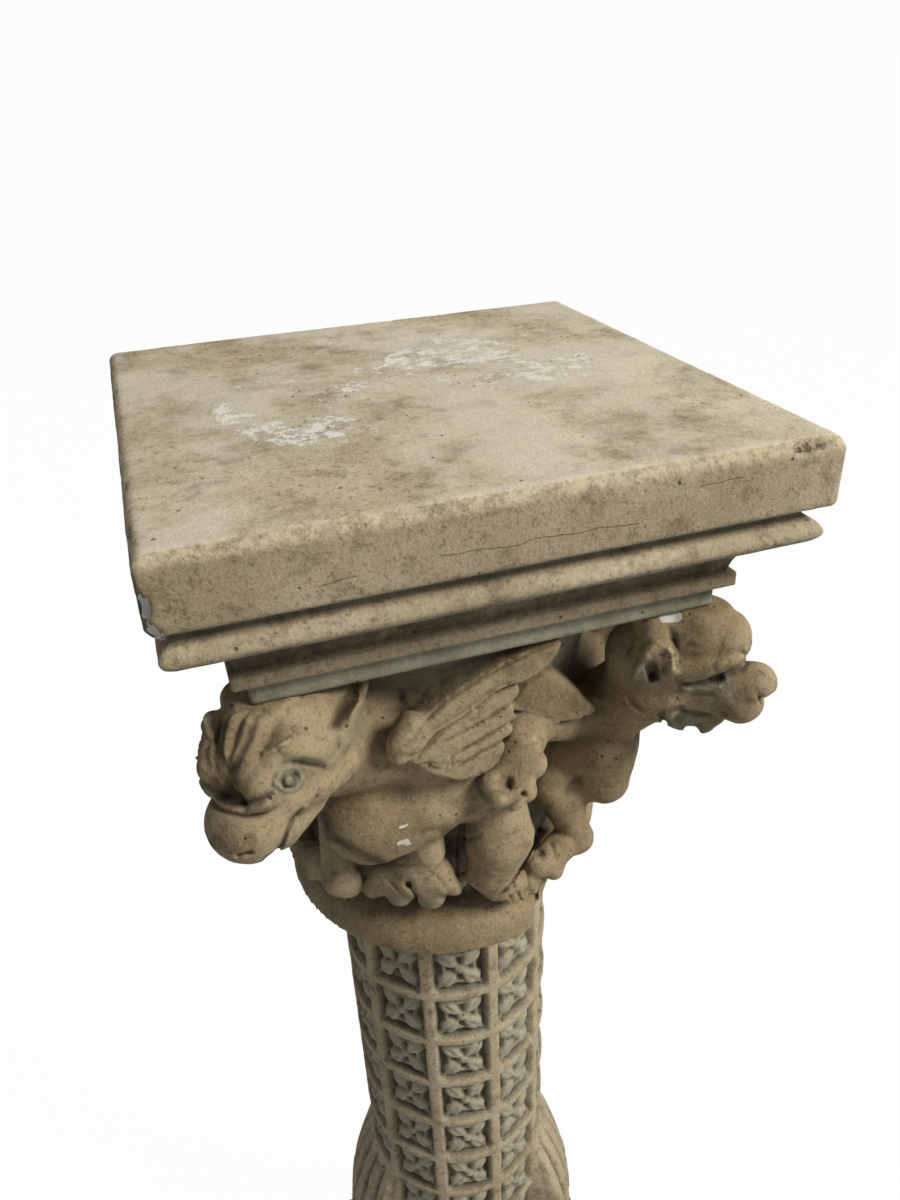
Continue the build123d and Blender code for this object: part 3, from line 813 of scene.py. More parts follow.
def clay_surface(low, high, step):
    """The clay's skin in one box, as points, quads and the values that its paint needs."""
    clay, bell = build_clay(low, high, step)
    grid = openvdb.FloatGrid(8.0)
    grid.copyFromArray(np.clip(clay.d, -8, 8))
    cells, quads = grid.convertToQuads(isovalue=0)
    cells = np.asarray(cells, float)
    quads = np.asarray(quads, np.int64)
    points = cells * clay.step + clay.low
    # cells on the block's outside faces are dropped
    inner = (cells > 0.6).all(1) & (cells < np.array(clay.shape) - 1.6).all(1)
    quads = quads[inner[quads].all(1)]
    fine = box_blur(np.clip(clay.d, -5, 5), max(1, int(round(3 / clay.step))))
    broad = box_blur(np.clip(clay.d, -14, 14), max(2, int(round(11 / clay.step))))
    hollow_fine = sample(fine, cells)
    hollow_broad = sample(broad, cells)
    bell_near = 1 - smooth(0.6, 2.6, np.abs(sample(bell, cells)))
    painted = {name: np.zeros(len(cells)) for name in ("teal", "dirt", "wear", "white")}
    painted.update({name: sample(coat, cells) for name, coat in clay.paint.items()})
    rough = fractal(points, 26, 5) - 0.5
    recess = smooth(0.6, 5.0, -hollow_broad + rough * 3)
    # Darker in fine creases: dirt, with painted shade in them
    dirt = smooth(0.15, 1.6, -hollow_fine + rough * 0.8)
    values = {
        "teal": np.maximum.reduce([bell_near * 0.9, recess * 0.55, painted["teal"]]),
        "dirt": np.maximum(dirt, painted["dirt"]),
        # lighter on fine ridges: wear with painted highlights
        "wear": np.maximum(smooth(0.5, 2.2, hollow_fine + rough * 0.8), painted["wear"]),
        "white": painted["white"],
        # painted shade in the broad hollows, as ambient occlusion would make them
        "painted_hollow_shade": smooth(-1.0, 6.0, -hollow_broad),
    }
    normals = normals_of(points, quads)
    side = np.sign(np.median(np.einsum("ij,ij->i", normals, points - np.array([0, 0, -230])))) or 1
    normals = normals * side
    bump = (fractal(points, 14, 11) - 0.5) * 1.1 + (noise(points, 4, 17) - 0.5) * 0.35
    points = points + normals * bump[:, None]
    if side < 0:
        quads = quads[:, ::-1]
    return points, quads, values


def kept(points, quads, values, chosen):
    """Only the chosen quads, with the points and values that they use."""
    used, index = np.unique(quads[chosen], return_inverse=True)
    return points[used], index.reshape(-1, 4), {key: value[used] for key, value in values.items()}


def head_region(middle, grow):
    """Whether places lie in the two corners that the camera sees best, where the heads are."""
    x, y, z = np.abs(middle[:, 0]), middle[:, 1], middle[:, 2]
    out, side = (x - y) / math.sqrt(2), (x + y) / math.sqrt(2)
    return (y < 0) & (out > 112 - grow) & (np.abs(side) < 37 + grow) & (z > -213 - grow)


def front_region(middle, grow):
    """Whether places lie on the side between those two heads."""
    return middle[:, 1] < -np.abs(middle[:, 0]) + grow


def capital(material):
    """The capital in pieces: three sides plainly, the front more finely and its two heads most finely."""
    made = []
    lift = np.array([0, 0, TOP])

    def add(name, part):
        made.append(make_mesh(name, part[0] + lift, part[1], part[2], material))

    skin = clay_surface((-164, -164, -380), (164, 164, -62), REAR_STEP)
    middle = skin[0][skin[1]].mean(1)
    rest = ~head_region(middle, -OVERLAP) & ~front_region(middle, -OVERLAP)
    add("capital_rear_left", kept(*skin, rest & (middle[:, 0] < 0)))
    add("capital_rear_right", kept(*skin, rest & (middle[:, 0] >= 0)))
    skin = clay_surface((-140, -150, -380), (140, -30, -62), BODY_STEP)
    middle = skin[0][skin[1]].mean(1)
    front = front_region(middle, 0) & ~head_region(middle, -OVERLAP)
    add("capital_front_left", kept(*skin, front & (middle[:, 0] < 0)))
    add("capital_front_right", kept(*skin, front & (middle[:, 0] >= 0)))
    for name, low, high in (("head_left", (-168, -168, -222), (-44, -44, -62)),
                            ("head_right", (44, -168, -222), (168, -44, -62))):
        skin = clay_surface(low, high, HEAD_STEP)
        add(name, kept(*skin, head_region(skin[0][skin[1]].mean(1), 0)))
    return made


def wrapped(rows, ring):
    """Quads between rows of points, top row first, where each row closes on itself."""
    index = np.arange(rows * ring).reshape(rows, ring)
    upper, lower = index[:-1], index[1:]
    return np.stack([lower, np.roll(lower, -1, 1), np.roll(upper, -1, 1), upper], -1).reshape(-1, 4)


def square_ring_place(half, t, round_corner):
    """A point of a square of this half width at t from -1 to 1 along its front side, with rounded corners."""
    x = t * half
    y = -half * np.ones_like(t * half)
    inner = half - round_corner
    cx = np.sign(x) * inner
    cy = -inner
    past = np.abs(x) > inner
    dx, dy = x - cx, y - cy
    size = np.sqrt(dx * dx + dy * dy)
    scale = round_corner / np.maximum(size, 1e-9)
    x = np.where(past, cx + dx * scale, x)
    y = np.where(past, cy + dy * scale, y)
    return x, y


def square_solid(profile, corner, along, top_rows):
    """A square turned solid from a (half width, height) profile given top down, with a closed top face."""
    profile = np.array(profile, float)
    edge = np.linspace(-1, 1, along + 1)
    points = []
    ring = 4 * along
    for half, height in profile:
        x, y = square_ring_place(half, edge[:-1], min(corner, half * 0.5))
        for k in range(4):
            points.append(np.stack([x, y, np.full_like(x, height)], 1))
            x, y = -y, x
    points = np.concatenate(points)
    faces = [wrapped(len(profile), ring)]
    # the top: shrinking square rings down to the middle
    start = len(points)
    half, height = profile[0]
    rings = [np.arange(ring)]
    for row in range(1, top_rows):
        inner = half * (1 - row / top_rows)
        x, y = square_ring_place(inner, edge[:-1], min(corner, inner * 0.5))
        here = []
        for k in range(4):
            here.append(np.stack([x, y, np.full_like(x, height)], 1))
            x, y = -y, x
        points = np.concatenate([points] + here)
        rings.append(start + np.arange(ring))
        start += ring
    for outer, inner in zip(rings, rings[1:]):
        faces.append(np.stack([outer, np.roll(outer, -1), np.roll(inner, -1), inner], -1))
    middle = len(points)
    points = np.concatenate([points, [[0, 0, height]]])
    last = rings[-1]
    half_ring = last.reshape(-1, 2)
    nxt = np.roll(half_ring[:, 0], -1)
    faces.append(np.stack([half_ring[:, 0], half_ring[:, 1], nxt, np.full_like(nxt, middle)], -1))
    return points, np.concatenate(faces)


def arc(start, end, bulge, count):
    """Points on an arc from start to end that swells to its right by bulge."""
    start, end = np.array(start, float), np.array(end, float)
    t = np.linspace(0, 1, count)
    run = end - start
    length = np.linalg.norm(run)
    side = np.array([-run[1], run[0]]) / length
    curve = 4 * t * (1 - t) * bulge
    return start + t[:, None] * run + curve[:, None] * side


def straight(start, end, count):
    """Points on a straight line."""
    t = np.linspace(0, 1, count)[:, None]
    return np.array(start) * (1 - t) + np.array(end) * t


def level(drop):
    return TOP - drop


def abacus():
    """The slab and its mouldings, from the top's rounded arris down to the fascia's underside."""
    quarter = np.linspace(0, math.pi / 2, 7)
    foot = SLAB_HALF - SLAB_FOOT_ROUND
    profile = np.concatenate([
        [(SLAB_HALF - TOP_ROUND + TOP_ROUND * math.sin(a), level(TOP_ROUND - TOP_ROUND * math.cos(a)))
         for a in quarter],
        straight((SLAB_HALF, level(TOP_ROUND)), (SLAB_HALF, level(SLAB_DROP - SLAB_FOOT_ROUND)), 14)[1:],
        [(SLAB_HALF - 0.7, level(SLAB_DROP - 0.8)), (foot, level(SLAB_DROP))],
        straight((foot, level(SLAB_DROP)), (GROOVE_HALF + 0.5, level(SLAB_DROP)), 4)[1:],
        straight((GROOVE_HALF, level(SLAB_DROP + 0.8)), (GROOVE_HALF, level(GROOVE_DROP - 0.4)), 4),
        arc((GROOVE_HALF + 0.3, level(GROOVE_DROP)), (GROOVE_HALF + 0.3, level(TORUS_DROP)), TORUS_BULGE, 15),
        straight((GROOVE_HALF, level(TORUS_DROP)), (COVE_HALF, level(TORUS_DROP + 0.4)), 3)[1:],
        arc((COVE_HALF, level(TORUS_DROP + 0.6)), (126.8, level(COVE_DROP)), -COVE_SINK, 13),
        straight((FILLET_HALF, level(COVE_DROP + 0.2)), (FILLET_HALF + 0.2, level(FILLET_DROP - 0.4)), 5),
        straight((FILLET_HALF, level(FILLET_DROP)), (FASCIA_HALF + 0.2, level(FILLET_DROP)), 4)[1:],
        straight((FASCIA_HALF, level(FILLET_DROP + 0.6)), (FASCIA_HALF, level(FASCIA_DROP - 0.2)), 8),
        straight((FASCIA_HALF - 0.4, level(FASCIA_DROP)), (90, level(FASCIA_DROP)), 12)[1:],
    ])
    return square_solid(profile, 2.2, 120, 40)


def dress_square(name, points, faces, material, paint, chips):
    """A square solid, roughened, chipped and painted; a chip has a centre, three radii and a paleness."""
    half_width = np.abs(points[:, :2]).max()
    normals = normals_of(points, faces)
    rough = fractal(points, 30, 23) - 0.5
    fine = noise(points, 5, 29) - 0.5
    shift = rough * 0.9 + fine * 0.3
    points = points + normals * shift[:, None] * np.array([1, 1, 0.6])
    values = paint(points, normals)
    white = values["white"]
    for centre, reach, paleness in chips:
        away = (points - np.array(centre)) / np.array(reach)
        d = np.linalg.norm(away, axis=1) + (noise(points, 5, 41) - 0.5) * 0.5
        inside = np.clip(1 - d, 0, None)
        inward = -points * np.array([1, 1, 0]) / np.maximum(np.abs(points[:, :2]).max(1, keepdims=True), 1e-6)
        inward[:, 2] = -1.0
        points = points + inward * (np.clip(inside, 0, 0.5) * min(reach) * 1.1)[:, None]
        white = np.maximum(white, smooth(0, 0.2, inside) * paleness)
        # A chip's hollow darker unless the chip is pale: painted shade, with dirt
        values["dirt"] = np.maximum(values["dirt"], smooth(0.1, 0.4, inside) * (0.9 - paleness))
    values["white"] = white
    limit = np.abs(points[:, :2]).max()
    points[:, :2] *= min(1.0, (half_width - 0.02) / limit)
    points[:, 2] = np.clip(points[:, 2], 0.01, TOP - 0.01)
    return make_mesh(name, points, faces, values, material)


def turned(profile, segments):
    """A round solid's skin from a (radius, height) profile given top down."""
    profile = np.array(profile, float)
    angle = np.arange(segments) * 2 * math.pi / segments
    points = np.stack([profile[:, 0][:, None] * np.cos(angle), profile[:, 0][:, None] * np.sin(angle),
                       np.repeat(profile[:, 1][:, None], segments, 1)], -1).reshape(-1, 3)
    return points, wrapped(len(profile), segments)


def flower(u, v, half_u, half_v):
    """How far the carving stands over a panel's floor, and how much of it is petal."""
    r = np.sqrt(u * u + v * v)
    d1 = np.abs(u) * half_v / half_u
    along = (d1 + np.abs(v)) / math.sqrt(2)
    across = (d1 - np.abs(v)) / math.sqrt(2)
    petal = 1 - ((along - 12.5) / 10.5) ** 2 - (across / (2.5 + 0.34 * along)) ** 2
    petal = np.clip(petal, 0, 1) ** 0.55
    petal = petal * (1 - 0.35 * np.exp(-(across / 1.3) ** 2) * smooth(4, 12, along))
    boss = np.clip(1 - (r / 4.6) ** 2, 0, 1) ** 0.5
    # ridges along the four sides that bow in between the corners
    bow_u = half_u - 1.2 - 6.5 * np.clip(1 - (v / (half_v - 1)) ** 2, 0, 1)
    bow_v = half_v - 1.2 - 6.5 * np.clip(1 - (u / (half_u - 1)) ** 2, 0, 1)
    ridge = np.maximum(np.exp(-((np.abs(u) - bow_u) / 1.5) ** 2), np.exp(-((np.abs(v) - bow_v) / 1.5) ** 2))
    return petal, boss, ridge


def shaft_surface(turn, drop):
    """The shaft's radius and paint at a turn in degrees and a drop below the slab's top."""
    share = np.clip((drop - RING_DROP) / (PANEL_DROP - RING_DROP), 0, 1)
    radius = SHAFT_TOP_RADIUS + (SHAFT_FOOT_RADIUS - SHAFT_TOP_RADIUS) * share
    pitch_turn = 360.0 / PANEL_COLUMNS
    column = (turn - RIB_TURN) / pitch_turn
    number = np.floor(column)
    width = 2 * math.pi * radius / PANEL_COLUMNS
    u = (column - number - 0.5) * width
    row = (drop - COLLAR_DROP) / PANEL_PITCH
    which = np.floor(row)
    v = (row - which - 0.5) * PANEL_PITCH
    panel = np.stack([number * 7.3, which * 5.1, number * 0 + 2], -1).reshape(-1, 3)
    wobble = noise(panel, 1.0, 3).reshape(turn.shape) - 0.5
    half_u = width / 2 - 4.9 + wobble * 0.8
    half_v = PANEL_PITCH / 2 - 4.0 + wobble * 0.6
    inside = smooth(-0.9, 0.9, np.minimum(half_u - np.abs(u), half_v - np.abs(v)))
    petal, boss, ridge = flower(u, v, half_u, half_v)
    raised = np.maximum(np.maximum(petal * (4.8 + wobble), boss * 5.4), ridge * 3.0)
    floor = 6.4 + wobble
    has_panel = (row >= 0)
    flank = np.minimum(np.abs((turn - (RIB_TURN + pitch_turn) + 180) % 360 - 180),
                       np.abs((turn - (RIB_TURN + pitch_turn + 180) + 180) % 360 - 180))
    swell = smooth(pitch_turn + 3.5, pitch_turn - 3.5, flank)
    low = smooth(PANEL_DROP - 2, PANEL_DROP + 6, drop)
    inside = inside * has_panel * (1 - swell * low)
    end = TOP - FOOT_LEVEL
    inside = inside * smooth(end - 12, end - 16, drop) * (row < PANEL_ROWS + FOOT_ROWS)
    relief = inside * (raised - floor)
    curve = np.interp(drop, [PANEL_DROP - 8, PANEL_DROP, PANEL_DROP + 14, PANEL_DROP + 35, PANEL_DROP + 60,
                             PANEL_DROP + 85, PANEL_DROP + 110, PANEL_DROP + 150, PANEL_DROP + 194],
                      [0, 0.6, 3.0, 12.5, 20.0, 26.0, 28.4, 27.0, 21.8])
    angle = (turn - RIB_TURN) % 180
    flute = np.abs(((angle / (2 * pitch_turn) * 7.0) % 1) - 0.5) * 2
    groove = smooth(0.62, 1.0, flute) * smooth(PANEL_DROP - 4, PANEL_DROP + 30, drop)
    flare = curve * swell - groove * 4.6 * swell * (curve > 0)
    radius = radius + relief + flare * (drop > PANEL_DROP - 9)
    teal = inside * (1 - 0.75 * np.clip(petal, 0, 1) - 0.15 * ridge)
    light = inside * np.clip(petal * 1.2, 0, 1)
    # Darker on the panels' floor beside the carving and in the flare's flutes: painted shade, with dirt
    dirt = inside * smooth(0.45, 0.0, np.maximum(np.maximum(petal, boss), ridge)) * 0.8
    dirt = np.maximum(dirt, groove * swell * low * 0.8)
    return radius, {"teal": teal, "petal": light, "dirt": dirt}


def shaft_piece(name, drop_from, drop_to, segments, rows, material):
    """A stretch of the shaft between two drops, roughened and painted."""
    turn = np.arange(segments) * 360.0 / segments
    drop = np.linspace(drop_from, drop_to, rows + 1)
    turns, drops = np.meshgrid(turn, drop)
    radius, values = shaft_surface(turns, drops)
    a = np.radians(turns)
    points = np.stack([radius * np.cos(a), radius * np.sin(a), TOP - drops], -1).reshape(-1, 3)
    faces = wrapped(rows + 1, segments)
    normals = normals_of(points, faces)
    rough = fractal(points, 18, 51) - 0.5
    fine = noise(points, 3.5, 57) - 0.5
    points = points + normals * (rough * 1.1 + fine * 0.5)[:, None]
    values = {key: value.ravel() for key, value in values.items()}
    values["teal"] = np.clip(values["teal"] + rough * 0.3 * (values["teal"] > 0.05), 0, 1)
    values["wear"] = smooth(0.05, 0.4, rough) * 0.6
    return make_mesh(name, points, faces, values, material)


# Materials
def stucco(name, base, pale, dark, teal, petal_colour=(0.5, 0.45, 0.36), scale=1.0, teal_dark=None,
           painted_hollow_shade=0.8, cracks=(), painted_top_light=0.0):
    """Cast stucco: mottled ground, dirt and painted shade in hollows, teal paint in recesses, pale wear and
    painted highlights on edges, fine pits.

    scale widens the mottling, the strength after teal_dark sets how dark the painted shade in hollows gets,
    and the one after cracks how pale painted light makes a level top.
    """
    material = bpy.data.materials.new(name)
    material.use_nodes = True
    tree = material.node_tree
    tree.nodes.clear()
    new = tree.nodes.new
    link = tree.links.new
    out = new("ShaderNodeOutputMaterial")
    shader = new("ShaderNodeBsdfPrincipled")
    shader.inputs["Roughness"].default_value = 0.86
    shader.inputs["Specular IOR Level"].default_value = 0.22
    link(shader.outputs[0], out.inputs[0])
    place = new("ShaderNodeTexCoord").outputs["Object"]

    def texture(size, detail=4, rough=0.6):
        """Noise with features about size mm across."""
        node = new("ShaderNodeTexNoise")
        node.inputs["Scale"].default_value = 1000 / size
        node.inputs["Detail"].default_value = detail
        node.inputs["Roughness"].default_value = rough
        link(place, node.inputs["Vector"])
        return node.outputs["Fac"]

    def attribute(key):
        node = new("ShaderNodeAttribute")
        node.attribute_name = key
        return node.outputs["Fac"]

    def ramp(value, low, high, to_low=0.0, to_high=1.0):
        node = new("ShaderNodeMapRange")
        node.interpolation_type = "SMOOTHSTEP"
        node.inputs["From Min"].default_value = low
        node.inputs["From Max"].default_value = high
        node.inputs["To Min"].default_value = to_low
        node.inputs["To Max"].default_value = to_high
        link(value, node.inputs["Value"])
        return node.outputs["Result"]

    def math_node(kind, a, b):
        node = new("ShaderNodeMath")
        node.operation = kind
        for socket, value in zip(node.inputs, (a, b)):
            if isinstance(value, (int, float)):
                socket.default_value = value
            else:
                link(value, socket)
        return node.outputs[0]

    def mix(factor, a, b):
        node = new("ShaderNodeMix")
        node.data_type = "RGBA"
        link(factor, node.inputs["Factor"])
        for socket, value in zip([s for s in node.inputs if s.type == "RGBA"], (a, b)):
            if isinstance(value, tuple):
                socket.default_value = (*value, 1)
            else:
                link(value, socket)
        return [s for s in node.outputs if s.type == "RGBA"][0]

    def soften(value, share):
        return math_node("MULTIPLY", value, share)

    grain = texture(1.7, 5, 0.75)
    speckle = texture(4.5, 6, 0.75)
    blotch = texture(15 * scale, 6, 0.7)
    colour = mix(ramp(texture(55 * scale, 5), 0.35, 0.66), base, pale)
    colour = mix(ramp(blotch, 0.50, 0.68, 0, 0.62), colour, dark)
    colour = mix(ramp(blotch, 0.44, 0.30, 0, 0.5), colour, pale)
    colour = mix(ramp(speckle, 0.53, 0.66, 0, 0.6), colour, dark)
    colour = mix(ramp(grain, 0.52, 0.68, 0, 0.65), colour, dark)
    colour = mix(ramp(grain, 0.47, 0.33, 0, 0.5), colour, pale)
    # Painted shade: darker in the broad hollows, as ambient occlusion would make them
    shade = soften(attribute("painted_hollow_shade"), painted_hollow_shade)
    colour = mix(shade, colour, tuple(c * 0.42 for c in dark))
    coat = mix(ramp(texture(14, 5), 0.4, 0.66), teal, teal_dark or tuple(c * 0.62 for c in teal))
    coat = mix(ramp(grain, 0.5, 0.7, 0, 0.5), coat, tuple(c * 0.45 for c in teal))
    broken = ramp(speckle, 0.32, 0.56, 1.0, 0.45)
    colour = mix(math_node("MULTIPLY", attribute("teal"), broken), colour, coat)
    # Darker along creases and drawn lines: dirt with painted shade
    dirt = math_node("MULTIPLY", attribute("dirt"), ramp(texture(9, 4), 0.25, 0.55, 0.55, 1.0))
    colour = mix(dirt, colour, tuple(c * 0.33 for c in dark))
    petal = math_node("MULTIPLY", attribute("petal"), ramp(texture(8, 4), 0.3, 0.62, 0.35, 0.95))
    colour = mix(petal, colour, petal_colour)
    # Paler on ridges and drawn edges: wear with painted highlights
    wear = math_node("MULTIPLY", attribute("wear"), ramp(texture(4, 6, 0.7), 0.42, 0.6, 0, 0.9))
    colour = mix(wear, colour, tuple(min(1, c * 1.2) for c in pale))
    flakes = math_node("ADD", attribute("white"), texture(12, 10, 0.8))
    white = ramp(flakes, 0.96, 1.04)
    colour = mix(soften(white, 0.9), colour, (0.70, 0.68, 0.62))
    # Painted light: upward faces paler in broad patches
    if painted_top_light:
        parts = new("ShaderNodeSeparateXYZ")
        link(new("ShaderNodeNewGeometry").outputs["Normal"], parts.inputs[0])
        upward = ramp(parts.outputs["Z"], 0.85, 0.98)
        top_light_patches = math_node("MULTIPLY", upward, ramp(texture(80, 6, 0.7), 0.36, 0.58))
        colour = mix(soften(top_light_patches, painted_top_light), colour, (0.62, 0.57, 0.45))
    pits = new("ShaderNodeTexVoronoi")
    pits.inputs["Scale"].default_value = 1000 / 11
    pits.inputs["Randomness"].default_value = 1.0
    link(place, pits.inputs["Vector"])
    gate = ramp(texture(30, 2), 0.45, 0.55)
    pit = math_node("MULTIPLY", ramp(pits.outputs["Distance"], 0.12, 0.05), gate)
    colour = mix(soften(pit, 0.6), colour, tuple(c * 0.25 for c in dark))
    height = math_node("ADD", soften(grain, 0.7), soften(speckle, 1.3))
    height = math_node("SUBTRACT", height, soften(pit, 1.6))
    height = math_node("ADD", height, soften(white, 0.25))
    for crack in cracks:
        line = hairline(new, link, place, math_node, *crack)
        colour = mix(soften(line, 0.8), colour, tuple(c * 0.4 for c in dark))
        height = math_node("SUBTRACT", height, soften(line, 1.2))
    link(colour, shader.inputs["Base Color"])
    bump = new("ShaderNodeBump")
    bump.inputs["Strength"].default_value = 0.7
    bump.inputs["Distance"].default_value = 0.0012
    link(height, bump.inputs["Height"])
    link(bump.outputs[0], shader.inputs["Normal"])
    return material


def hairline(new, link, place, math_node, start, end, width):
    """A thin wandering crack on the front face between two (x, z) places in metres, as a mask."""
    axes = new("ShaderNodeSeparateXYZ")
    link(place, axes.inputs[0])
    x, y, z = axes.outputs
    wander = new("ShaderNodeTexNoise")
    wander.noise_dimensions = "1D"
    wander.inputs["Scale"].default_value = 45
    wander.inputs["Detail"].default_value = 5
    link(x, wander.inputs["W"])
    slope = (end[1] - start[1]) / (end[0] - start[0])
    height = math_node("ADD", math_node("MULTIPLY", x, slope), start[1] - slope * start[0])
    sway = math_node("MULTIPLY", math_node("SUBTRACT", wander.outputs["Fac"], 0.5), 0.006)
    away = math_node("ABSOLUTE", math_node("SUBTRACT", z, math_node("ADD", height, sway)), 0)
    line = math_node("LESS_THAN", away, width)
    line = math_node("MULTIPLY", line, math_node("GREATER_THAN", x, start[0]))
    line = math_node("MULTIPLY", line, math_node("LESS_THAN", x, end[0]))
    return math_node("MULTIPLY", line, math_node("LESS_THAN", y, -0.150))


def front_crack(start, end):
    """A crack on the slab's front between two of the photograph's pixels."""
    places = [on_face(pixel, SLAB_HALF) for pixel in (start, end)]
    return [(x * MM, (z + TOP) * MM) for x, z in places] + [0.0002]


# Colours of the stucco's ground, its pale and dark mottling and the old paint in its recesses; the dark one
# also tints the painted shade and the pale one the painted highlights
TAN = (0.275, 0.205, 0.112)
PALE = (0.40, 0.32, 0.195)
DARK = (0.135, 0.095, 0.052)
TEAL = (0.27, 0.305, 0.24)
body_look = stucco("stucco_capital", TAN, PALE, DARK, TEAL)
shaft_look = stucco("stucco_shaft", (0.44, 0.36, 0.225), (0.52, 0.44, 0.30), DARK, (0.27, 0.30, 0.235),
                    petal_colour=(0.42, 0.395, 0.29), teal_dark=(0.12, 0.13, 0.098), painted_hollow_shade=0.35)
slab_look = stucco("stucco_slab", (0.36, 0.295, 0.185), (0.47, 0.395, 0.27), DARK, (0.33, 0.36, 0.285),
                   painted_top_light=0.6, scale=1.3,
                   cracks=[front_crack((440, 557), (640, 523)), front_crack((318, 587), (358, 578)),
                           front_crack((700, 487), (745, 478))])

# White scrapes on the top, as paths in the photograph's pixels with a width and a strength
WHITE_SCRAPES = [
    ([(222, 414), (262, 432), (300, 434), (345, 424)], 34, 0.50),
    ([(290, 440), (340, 440), (385, 425)], 22, 0.44),
    ([(325, 396), (360, 380), (400, 372)], 34, 0.46),
    ([(400, 362), (440, 350), (490, 352), (520, 372), (580, 364)], 40, 0.50),
    ([(430, 385), (500, 378)], 30, 0.45),
    ([(262, 352), (330, 345), (400, 340)], 26, 0.42),
    ([(240, 392), (262, 384), (300, 372)], 24, 0.43),
    ([(520, 340), (575, 350)], 20, 0.42),
    ([(370, 455), (430, 452)], 8, 0.42),
]


def paint_abacus(points, normals):
    """Old paint in the groove and on the fascia, painted shade in the cove, under the mouldings and on the
    left face, wear with painted highlights on the torus and the top's arris, and the top's scrapes.
    """
    drop = TOP - points[:, 2]
    half = np.maximum(np.abs(points[:, 0]), np.abs(points[:, 1]))
    rough = fractal(points, 22, 31) - 0.5
    side = half > SLAB_HALF * 0.6
    groove = smooth(SLAB_DROP - 1, SLAB_DROP + 0.5, drop) * smooth(GROOVE_DROP + 1.5, GROOVE_DROP - 0.5, drop)
    on_fascia = smooth(FASCIA_HALF + 1.1, FASCIA_HALF + 0.4, half)
    fascia = smooth(FILLET_DROP - 0.4, FILLET_DROP + 0.6, drop) * on_fascia
    cove = smooth(TORUS_DROP - 1, TORUS_DROP + 2, drop) * smooth(COVE_DROP + 0.5, COVE_DROP - 1, drop)
    low_roll = smooth(TORUS_DROP - 8, TORUS_DROP - 2, drop) * smooth(TORUS_DROP + 2, TORUS_DROP, drop)
    under = smooth(COVE_DROP, COVE_DROP + 2, drop) * smooth(FILLET_DROP, FILLET_DROP - 1, drop)
    teal = np.maximum(groove * 0.85, fascia * 0.95) * side
    # The cove, the torus's lower half and the fillet's underside darker: painted shade under the mouldings
    dirt = np.maximum.reduce([cove * 0.7, low_roll * 0.35, 0.1 * under])
    dirt = np.maximum(dirt, smooth(9, 0, drop) * smooth(0.02, 0.2, rough) * 0.25)
    # The slab's left face darker in patches: painted shade on the side turned from the light
    left = smooth(3 - SLAB_HALF, -SLAB_HALF, points[:, 0]) * smooth(-0.1, 0.15, rough) * (drop < SLAB_DROP)
    # The torus's crown lighter in patches: wear with a painted highlight
    torus_crown = smooth(GROOVE_DROP, GROOVE_DROP + 4, drop) * smooth(TORUS_DROP - 3, TORUS_DROP - 8, drop)
    wear = smooth(-0.08, 0.2, rough) * torus_crown * 0.9
    # The top's rounded arris lighter: a painted highlight, with wear
    arris_highlight_and_wear = smooth(TOP_ROUND + 1, TOP_ROUND - 3, drop) * smooth(SLAB_HALF - 9, SLAB_HALF - 4, half)
    px, py, _ = to_view(points[:, 0], points[:, 1], points[:, 2] - TOP)
    white = np.zeros(len(points))
    for path, width, strength in WHITE_SCRAPES:
        d, _ = path_distance(px, py, np.array(path, float))
        white = np.maximum(white, strength * smooth(width, width * 0.2, d))
    return {"teal": teal + rough * 0.25 * (teal > 0.1),
            "dirt": np.maximum(dirt + rough * 0.3 * (dirt > 0.1), left * 0.8),
            "wear": np.clip(wear + arris_highlight_and_wear * 0.8, 0, 1),
            "white": white * (normals[:, 2] > 0.7) * (drop < 4)}


points, faces = abacus()
chips = [((140, -160, TOP - 2), (13, 5, 4.5), 0.0), ((162, -160, TOP - 1), (6, 6, 6), 0.3),
         ((-160, -161, TOP - 35), (7, 7, 7), 0.8), ((-160, -160, TOP - 22), (4, 4, 8), 0.7),
         ((-161, -130, TOP - 4), (4, 14, 4), 0.2), ((-161, -80, TOP - 1), (4, 10, 4), 0.2),
         ((160, 160, TOP - 2), (6, 6, 6), 0.5), ((-160, 160, TOP - 36), (6, 6, 6), 0.5)]
pieces = [dress_square("abacus", points, faces, slab_look, paint_abacus, chips)]

# The base roll and the drum under it
drum_top = FOOT_LEVEL - ROLL_HEIGHT
base_profile = np.concatenate([
    straight((70, FOOT_LEVEL), (DRUM_RADIUS, FOOT_LEVEL), 6),
    arc((DRUM_RADIUS, FOOT_LEVEL), (DRUM_RADIUS, drum_top), ROLL_SWELL, 22)[1:],
    straight((DRUM_RADIUS, drum_top), (DRUM_RADIUS, PLINTH_HEIGHT + 1), 16)[1:],
    straight((DRUM_RADIUS, PLINTH_HEIGHT + 1), (DRUM_RADIUS, PLINTH_HEIGHT - 6), 2)[1:],
])
points, faces = turned(base_profile, 256)
normals = normals_of(points, faces)
rough = fractal(points, 20, 61) - 0.5
points = points + normals * rough[:, None]
height = points[:, 2]
pieces.append(make_mesh("base_roll", points, faces, {
    # Darker at the roll's top and at the drum's foot
    "dirt": smooth(FOOT_LEVEL - 6, FOOT_LEVEL, height) * 0.5 + smooth(6, 0, height - PLINTH_HEIGHT) * 0.7,
    "wear": smooth(0.0, 0.3, rough) * 0.7,
    "teal": smooth(3, 0, np.abs(height - drum_top)) * 0.7}, body_look))

